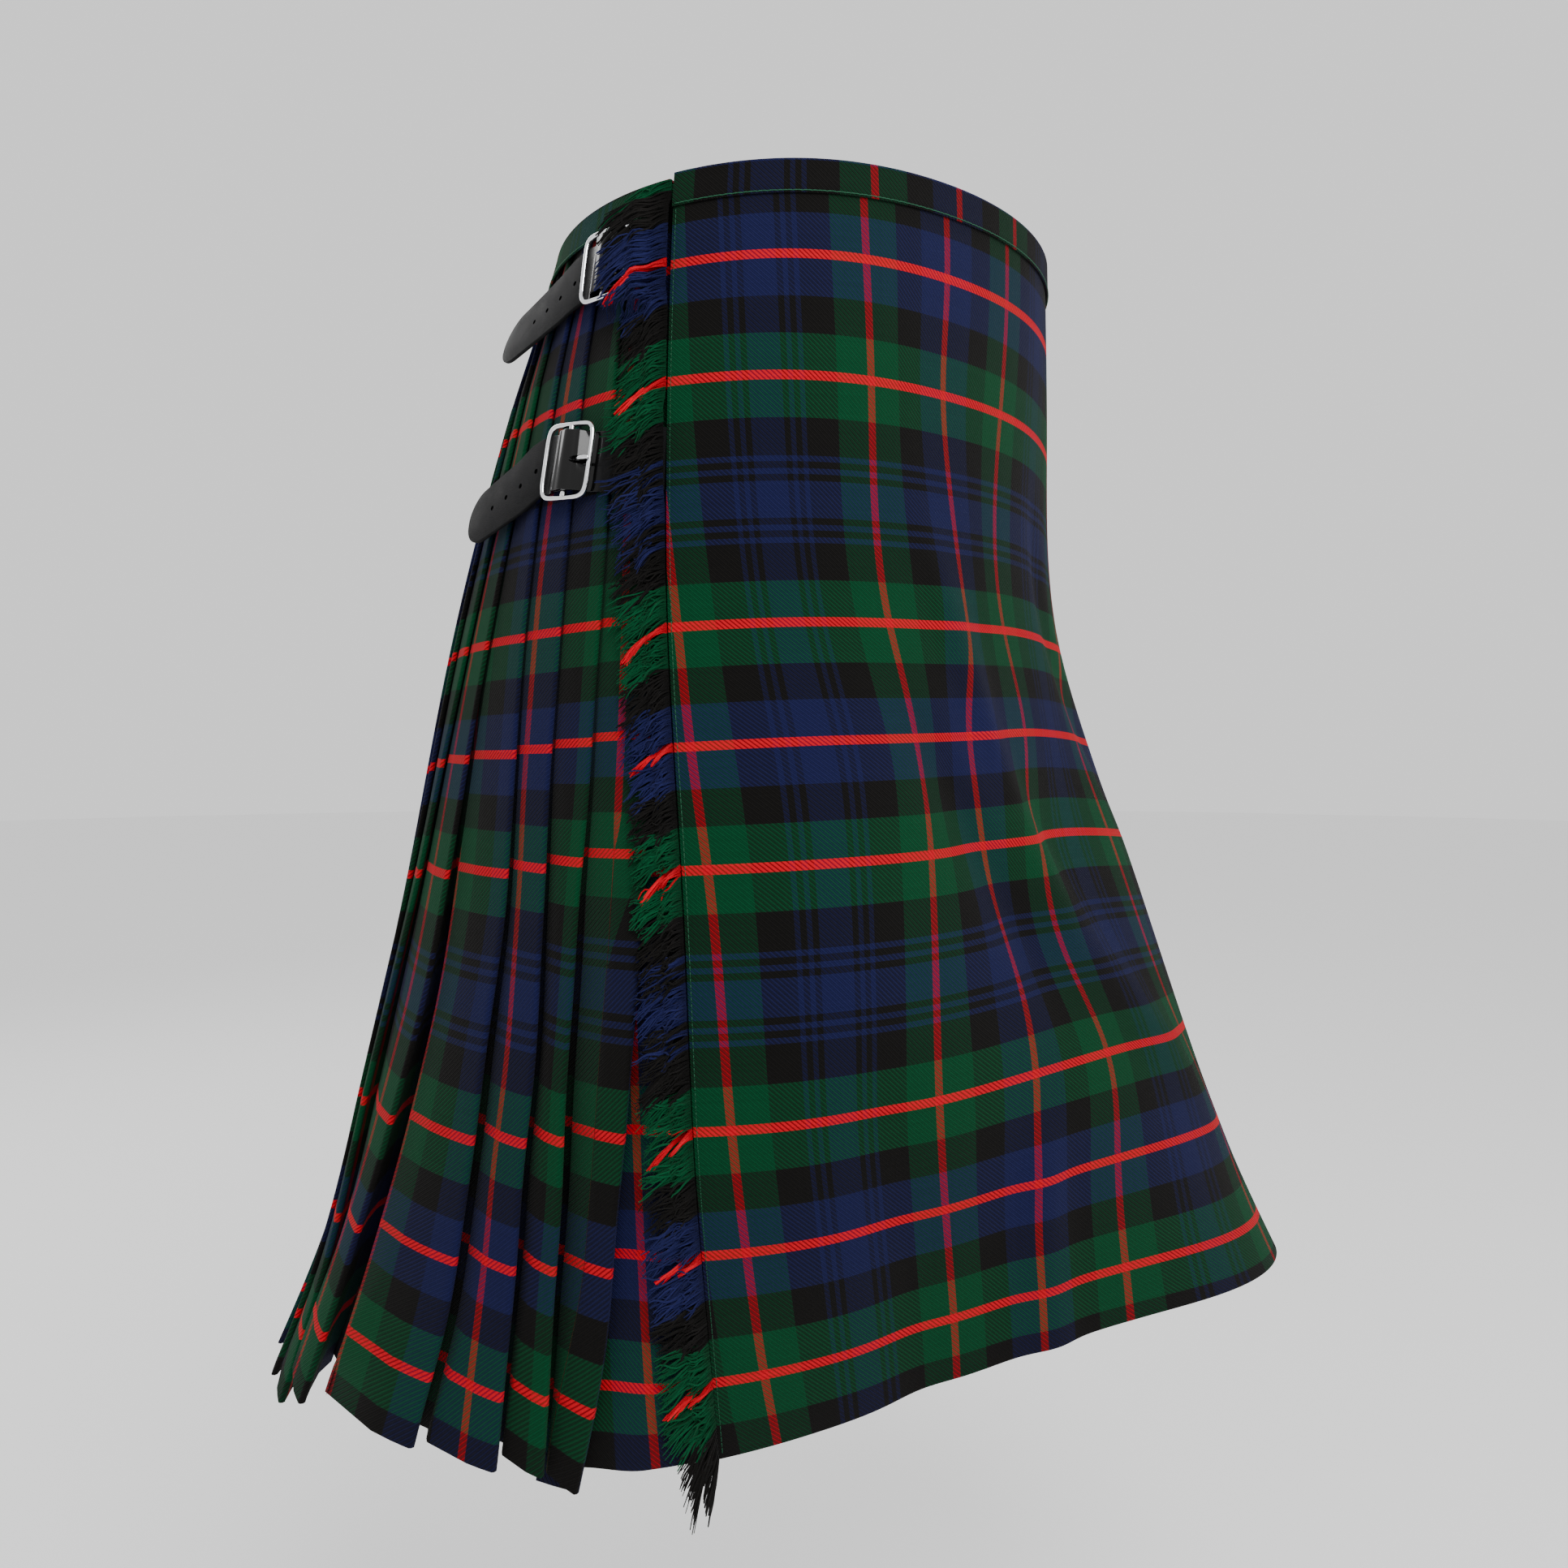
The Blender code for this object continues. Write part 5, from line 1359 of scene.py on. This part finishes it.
def make_buckle(strap):
    """A cast frame round a centre bar, and a tapered prong that rests on the front bar.

    The frame is a flattened round section carried round a rounded rectangle.
    """
    base, along, down, out = (part[0] for part in strap_frame(strap, [0.0]))
    height = buckle_height()
    rim = BUCKLE_WIRE * BUCKLE_SLIM
    half_run, half_fall = BUCKLE_LENGTH / 2 - rim, BUCKLE_HEIGHT / 2 - rim
    turn = np.linspace(0, 2 * math.pi, 96, endpoint=False)
    power = 2 / BUCKLE_SQUARENESS
    run = half_run * np.sign(np.cos(turn)) * np.abs(np.cos(turn))**power
    fall = half_fall * np.sign(np.sin(turn)) * np.abs(np.sin(turn))**power
    path = base + along * run[:, None] + down * fall[:, None] + out * height
    ahead = np.roll(path, -1, 0) - np.roll(path, 1, 0)
    ahead = ahead / np.linalg.norm(ahead, axis=1, keepdims=True)
    side = np.cross(ahead, out)
    around = np.arange(14) / 14 * 2 * math.pi
    ring = side[:, None] * np.cos(around)[None, :, None] * rim
    ring = ring + out * np.sin(around)[None, :, None] * BUCKLE_WIRE * BUCKLE_RELIEF
    rings = path[:, None] + ring
    stations, sides = rings.shape[:2]
    s, k = np.meshgrid(np.arange(stations), np.arange(sides), indexing="ij")
    after_s, after_k = (s + 1) % stations, (k + 1) % sides
    here, ahead_of = s * sides, after_s * sides
    frame_quads = np.stack([here + k, here + after_k, ahead_of + after_k, ahead_of + k], -1)
    fine = np.linspace(-1, 1, 24)
    bar_path = (base + down * fine[:, None] * (half_fall + 0.2 * MM) + out * height)[None]
    bar = tubes(bar_path, np.full((1, 24), BUCKLE_BAR), 14, lift=out)
    points = np.concatenate([rings.reshape(-1, 3), bar.reshape(-1, 3)])
    quads = np.concatenate([frame_quads.reshape(-1, 4), tube_quads(1, 24, 14) + stations * sides])
    name = strap["name"]
    add_piece(f"chrome_buckle_{name}", points, quads, np.zeros((len(points), 2)), polished_chrome(),
              "chrome", [f"buckle_{name}"])
    front = BUCKLE_WIRE - BUCKLE_LENGTH / 2
    top = BUCKLE_WIRE + PRONG_WIRE + 0.1 * MM
    clear = BUCKLE_BAR + PRONG_WIRE + SEAM_GAP + 0.2 * MM
    knots = ((-clear, -0.6 * MM), (-clear - 2 * MM, 0.1 * MM), (-clear - 5 * MM, 1.6 * MM),
             (front + 3 * MM, top - 0.3 * MM), (front, top - 0.1 * MM), (front - 2.2 * MM, top - 0.7 * MM))
    share = np.linspace(0, len(knots) - 1, 40)
    route = natural_spline(np.arange(len(knots)), knots, share)
    path = (base + along * route[:, :1] + out * (height + route[:, 1:]))[None]
    taper = 1 - 0.30 * smooth_step(share, 3.5, 5.0)
    thick = PRONG_WIRE * taper * np.sqrt(np.clip((5.05 - share) / 0.4, 0.05, 1))
    prong = tubes(path, thick[None], 12, lift=out)
    add_piece(f"chrome_prong_{name}", prong, tube_quads(1, 40, 12), np.zeros((prong.size // 3, 2)),
              polished_chrome(), "chrome", [f"prong_{name}"])


def make_stitches(name, bearings, drops, out, spacing, long, thick):
    """A row of short stitches: each one a low arch between two places on the cloth's line."""
    line = place(bearings, drops, out)
    runs = runs_along(line)
    count = int(runs[-1] / spacing)
    starts = (np.arange(count) + 0.5) * spacing
    share = np.linspace(-0.5, 0.5, 5)[None, :]
    at = starts[:, None] + long * share
    path = np.stack([np.interp(at, runs, line[:, i]) for i in range(3)], -1)
    bearing = np.interp(at, runs, bearings)
    drop = np.interp(at, runs, drops)
    away = outward(bearing, drop)
    path[..., :2] += away * ((thick * 0.9) * (1 - (2 * share)**2) - thick * 0.3)[..., None]
    slant = np.sin(np.arange(count) * 2.7)[:, None] * 0.12 * MM * share * 2
    path[..., 2] += slant
    corners = tubes(path, np.full((count, 5), thick), 4, lift=np.array((0.0, 0.0, 1.0)))
    measure = np.stack(np.broadcast_arrays(at[..., None], np.arange(4)[None, None, :] * 0.3 * MM), -1)
    return add_piece(name, corners, tube_quads(count, 5, 4), measure, sewing_thread(), "wool", sharp=80)


def make_world():
    """Even white light from all round."""
    world = bpy.data.worlds.new("pale studio")
    bpy.context.scene.world = world
    world.use_nodes = True
    sky = world.node_tree.nodes["Background"]
    sky.inputs["Color"].default_value = (1.0, 1.0, 1.0, 1.0)
    sky.inputs["Strength"].default_value = WORLD_STRENGTH


def make_floor(drop):
    """A pale round floor, in rings that reach far past the picture."""
    turn = np.linspace(0, 2 * math.pi, FLOOR_CORNERS, endpoint=False)
    corners = [(r * math.cos(a), r * math.sin(a), -drop) for r in FLOOR_RINGS for a in turn]
    inner = np.arange(len(FLOOR_RINGS) - 1) * FLOOR_CORNERS
    outer = inner + FLOOR_CORNERS
    last = FLOOR_CORNERS - 1
    closing = np.stack([inner + last, inner, outer, outer + last], -1)
    quads = np.concatenate([grid_quads(len(FLOOR_RINGS), FLOOR_CORNERS), closing])
    mesh = bpy.data.meshes.new("studio_floor")
    mesh.from_pydata(corners, [], quads[:, ::-1].tolist())
    floor = bpy.data.objects.new("studio_floor", mesh)
    bpy.context.scene.collection.objects.link(floor)
    pale, _, _ = new_material("pale floor", base_color=(0.92, 0.92, 0.92, 1.0), roughness=0.8)
    mesh.materials.append(pale)


def make_lights(key_power):
    """Large soft lamps, each turned to face its point."""
    for name, spot, size, power, aim in STUDIO_LIGHTS:
        data = bpy.data.lights.new(name, "AREA")
        data.shape = "RECTANGLE"
        data.size, data.size_y = size
        data.energy = power * key_power
        light = bpy.data.objects.new(name, data)
        bpy.context.scene.collection.objects.link(light)
        light.location = spot
        light.rotation_mode = "QUATERNION"
        light.rotation_quaternion = Vector(np.array(aim) - np.array(spot)).to_track_quat("-Z", "Y")


def make_camera():
    """The camera at the photograph's angle."""
    camera = bpy.data.objects.new("camera", bpy.data.cameras.new("camera"))
    bpy.context.scene.collection.objects.link(camera)
    camera.data.lens = CAMERA_LENS
    camera.data.sensor_width = CAMERA_SENSOR
    camera.location = CAMERA_SPOT
    ahead = math.radians(CAMERA_AZIMUTH)
    dip = math.radians(CAMERA_DIP)
    view = Vector((-math.sin(ahead) * math.cos(dip), math.cos(ahead) * math.cos(dip), -math.sin(dip)))
    camera.rotation_mode = "QUATERNION"
    camera.rotation_quaternion = view.to_track_quat("-Z", "Y")
    bpy.context.scene.camera = camera


class KiltCloth(bpy.types.PropertyGroup):
    """Colours and weave of the wool."""

    red: FloatVectorProperty(name="Red", description="Colour of the red threads", subtype="COLOR",
                             size=3, default=(0.40, 0.002, 0.010))
    blue: FloatVectorProperty(name="Blue", description="Colour of the blue threads", subtype="COLOR",
                              size=3, default=(0.0075, 0.0090, 0.042))
    green: FloatVectorProperty(name="Green", description="Colour of the green threads", subtype="COLOR",
                               size=3, default=(0.001, 0.040, 0.014))
    black: FloatVectorProperty(name="Black", description="Colour of the black threads", subtype="COLOR",
                               size=3, default=(0.0050, 0.0045, 0.0042))
    thread: FloatVectorProperty(name="Sewing thread", description="Colour of the sewing thread",
                                subtype="COLOR", size=3, default=(0.004, 0.110, 0.045))
    twill_pitch: FloatProperty(name="Twill pitch", description="Distance from one twill line to the next",
                               unit="LENGTH", default=1.75 * MM, precision=5)


class KiltFringe(bpy.types.PropertyGroup):
    """Density and size of the fringe."""

    yarns_a_row: IntProperty(name="Yarns", description="Loose yarns in each row of the fringe", default=1500)
    tuft_width: FloatProperty(name="Tuft width", description="Height of cloth whose yarns cling together",
                              unit="LENGTH", default=5.2 * MM, precision=5)
    below_hem: FloatProperty(name="Below the hem", description="How far the fringe hangs below the hem",
                             unit="LENGTH", default=20.0 * MM, precision=5)


class KiltHardware(bpy.types.PropertyGroup):
    """Colours of the straps and buckles."""

    leather: FloatVectorProperty(name="Leather", description="Colour of the straps", subtype="COLOR",
                                 size=3, default=(0.0055, 0.0055, 0.006))
    chrome: FloatVectorProperty(name="Chrome", description="Colour of the buckles", subtype="COLOR",
                                size=3, default=(0.86, 0.87, 0.89))


class KiltStage(bpy.types.PropertyGroup):
    """The pale studio round the kilt."""

    floor_drop: FloatProperty(name="Floor", description="Height of the floor below the waist",
                              unit="LENGTH", default=0.95)
    key_power: FloatProperty(name="Key light", description="Power of the large soft light",
                             subtype="POWER", default=24.0)


class KILT_OT_aprons(bpy.types.Operator):
    """Makes the over apron and the under apron"""

    bl_idname = "kilt.aprons"
    bl_label = "Aprons"

    def execute(self, context):
        make_over_apron()
        make_under_apron()
        return {"FINISHED"}


class KILT_OT_pleats(bpy.types.Operator):
    """Makes the pleated back"""

    bl_idname = "kilt.pleats"
    bl_label = "Pleats"

    def execute(self, context):
        make_pleats()
        return {"FINISHED"}


class KILT_OT_bands(bpy.types.Operator):
    """Makes the bindings over the top edge"""

    bl_idname = "kilt.bands"
    bl_label = "Waistbands"

    def execute(self, context):
        make_bands()
        return {"FINISHED"}


class KILT_OT_fringe(bpy.types.Operator):
    """Makes both rows of the fringe"""

    bl_idname = "kilt.fringe"
    bl_label = "Fringe"

    def execute(self, context):
        for row in FRINGES:
            make_fringe(dict(zip(FRINGE_COLUMNS, row)))
        return {"FINISHED"}


class KILT_OT_straps(bpy.types.Operator):
    """Makes the leather straps and the tabs that hold the buckles"""

    bl_idname = "kilt.straps"
    bl_label = "Straps"

    def execute(self, context):
        for row in STRAPS:
            strap = dict(zip(STRAP_COLUMNS, row))
            make_strap(strap)
            make_tab(strap)
        return {"FINISHED"}


class KILT_OT_buckles(bpy.types.Operator):
    """Makes the chrome buckles and their prongs"""

    bl_idname = "kilt.buckles"
    bl_label = "Buckles"

    def execute(self, context):
        for row in STRAPS:
            make_buckle(dict(zip(STRAP_COLUMNS, row)))
        return {"FINISHED"}


class KILT_OT_sewing(bpy.types.Operator):
    """Sews the bindings and the fringed edge"""

    bl_idname = "kilt.sewing"
    bl_label = "Sewing"

    def execute(self, context):
        right, left, first, last = edges_below_bands()
        band_out = BAND_GAP + BAND_CLOTH
        over = np.linspace(right - 0.4, left + 0.4, 300)
        at_band = np.full_like(over, BAND_HEIGHT - BAND_STITCH_DROP)
        make_stitches("over_band_stitches", over, at_band, band_out, *BAND_STITCH)
        pleated = np.linspace(first, last + 6.0, 300)
        pleats_out = band_out - float(under_depth(0.0))
        make_stitches("pleats_band_stitches", pleated, at_band, pleats_out, *BAND_STITCH)
        down = np.linspace(BAND_HEIGHT + 1 * MM, KILT_DROP - 2 * MM, 300)
        beside = edge("fringed_edge", down)
        beside = beside - np.degrees(1.6 * MM / envelope_radius(beside, down))
        make_stitches("fringed_edge_stitches", beside, down, 0.0, *EDGE_STITCH)
        return {"FINISHED"}


class KILT_OT_stage(bpy.types.Operator):
    """Makes the pale floor, the soft studio light and the camera"""

    bl_idname = "kilt.stage"
    bl_label = "Stage"

    def execute(self, context):
        settings = context.scene.kilt_stage
        make_world()
        make_floor(settings.floor_drop)
        make_lights(settings.key_power)
        make_camera()
        return {"FINISHED"}


class KILT_PT_maker(bpy.types.Panel):
    """Lists the steps that make the kilt, with the values that can be changed first"""

    bl_label = "Kilt"
    bl_idname = "KILT_PT_maker"
    bl_space_type = "VIEW_3D"
    bl_region_type = "UI"
    bl_category = "Kilt"

    def draw(self, context):
        layout = self.layout
        for settings in (context.scene.kilt_cloth, context.scene.kilt_fringe, context.scene.kilt_hardware,
                         context.scene.kilt_stage):
            box = layout.box()
            for name in settings.__annotations__:
                box.prop(settings, name)
        for operator in OPERATORS:
            layout.operator(operator.bl_idname)


SETTINGS = (("kilt_cloth", KiltCloth), ("kilt_fringe", KiltFringe), ("kilt_hardware", KiltHardware),
            ("kilt_stage", KiltStage))
OPERATORS = (KILT_OT_aprons, KILT_OT_pleats, KILT_OT_bands, KILT_OT_fringe, KILT_OT_straps,
             KILT_OT_buckles, KILT_OT_sewing, KILT_OT_stage)


def register():
    for name, group in SETTINGS:
        bpy.utils.register_class(group)
        setattr(bpy.types.Scene, name, PointerProperty(type=group))
    for operator in OPERATORS:
        bpy.utils.register_class(operator)
    bpy.utils.register_class(KILT_PT_maker)


def unregister():
    bpy.utils.unregister_class(KILT_PT_maker)
    for operator in reversed(OPERATORS):
        bpy.utils.unregister_class(operator)
    for name, group in reversed(SETTINGS):
        delattr(bpy.types.Scene, name)
        bpy.utils.unregister_class(group)


def main():
    register()
    for operator in OPERATORS:
        group, _, name = operator.bl_idname.partition(".")
        getattr(getattr(bpy.ops, group), name)()


if __name__ == "__main__":
    main()
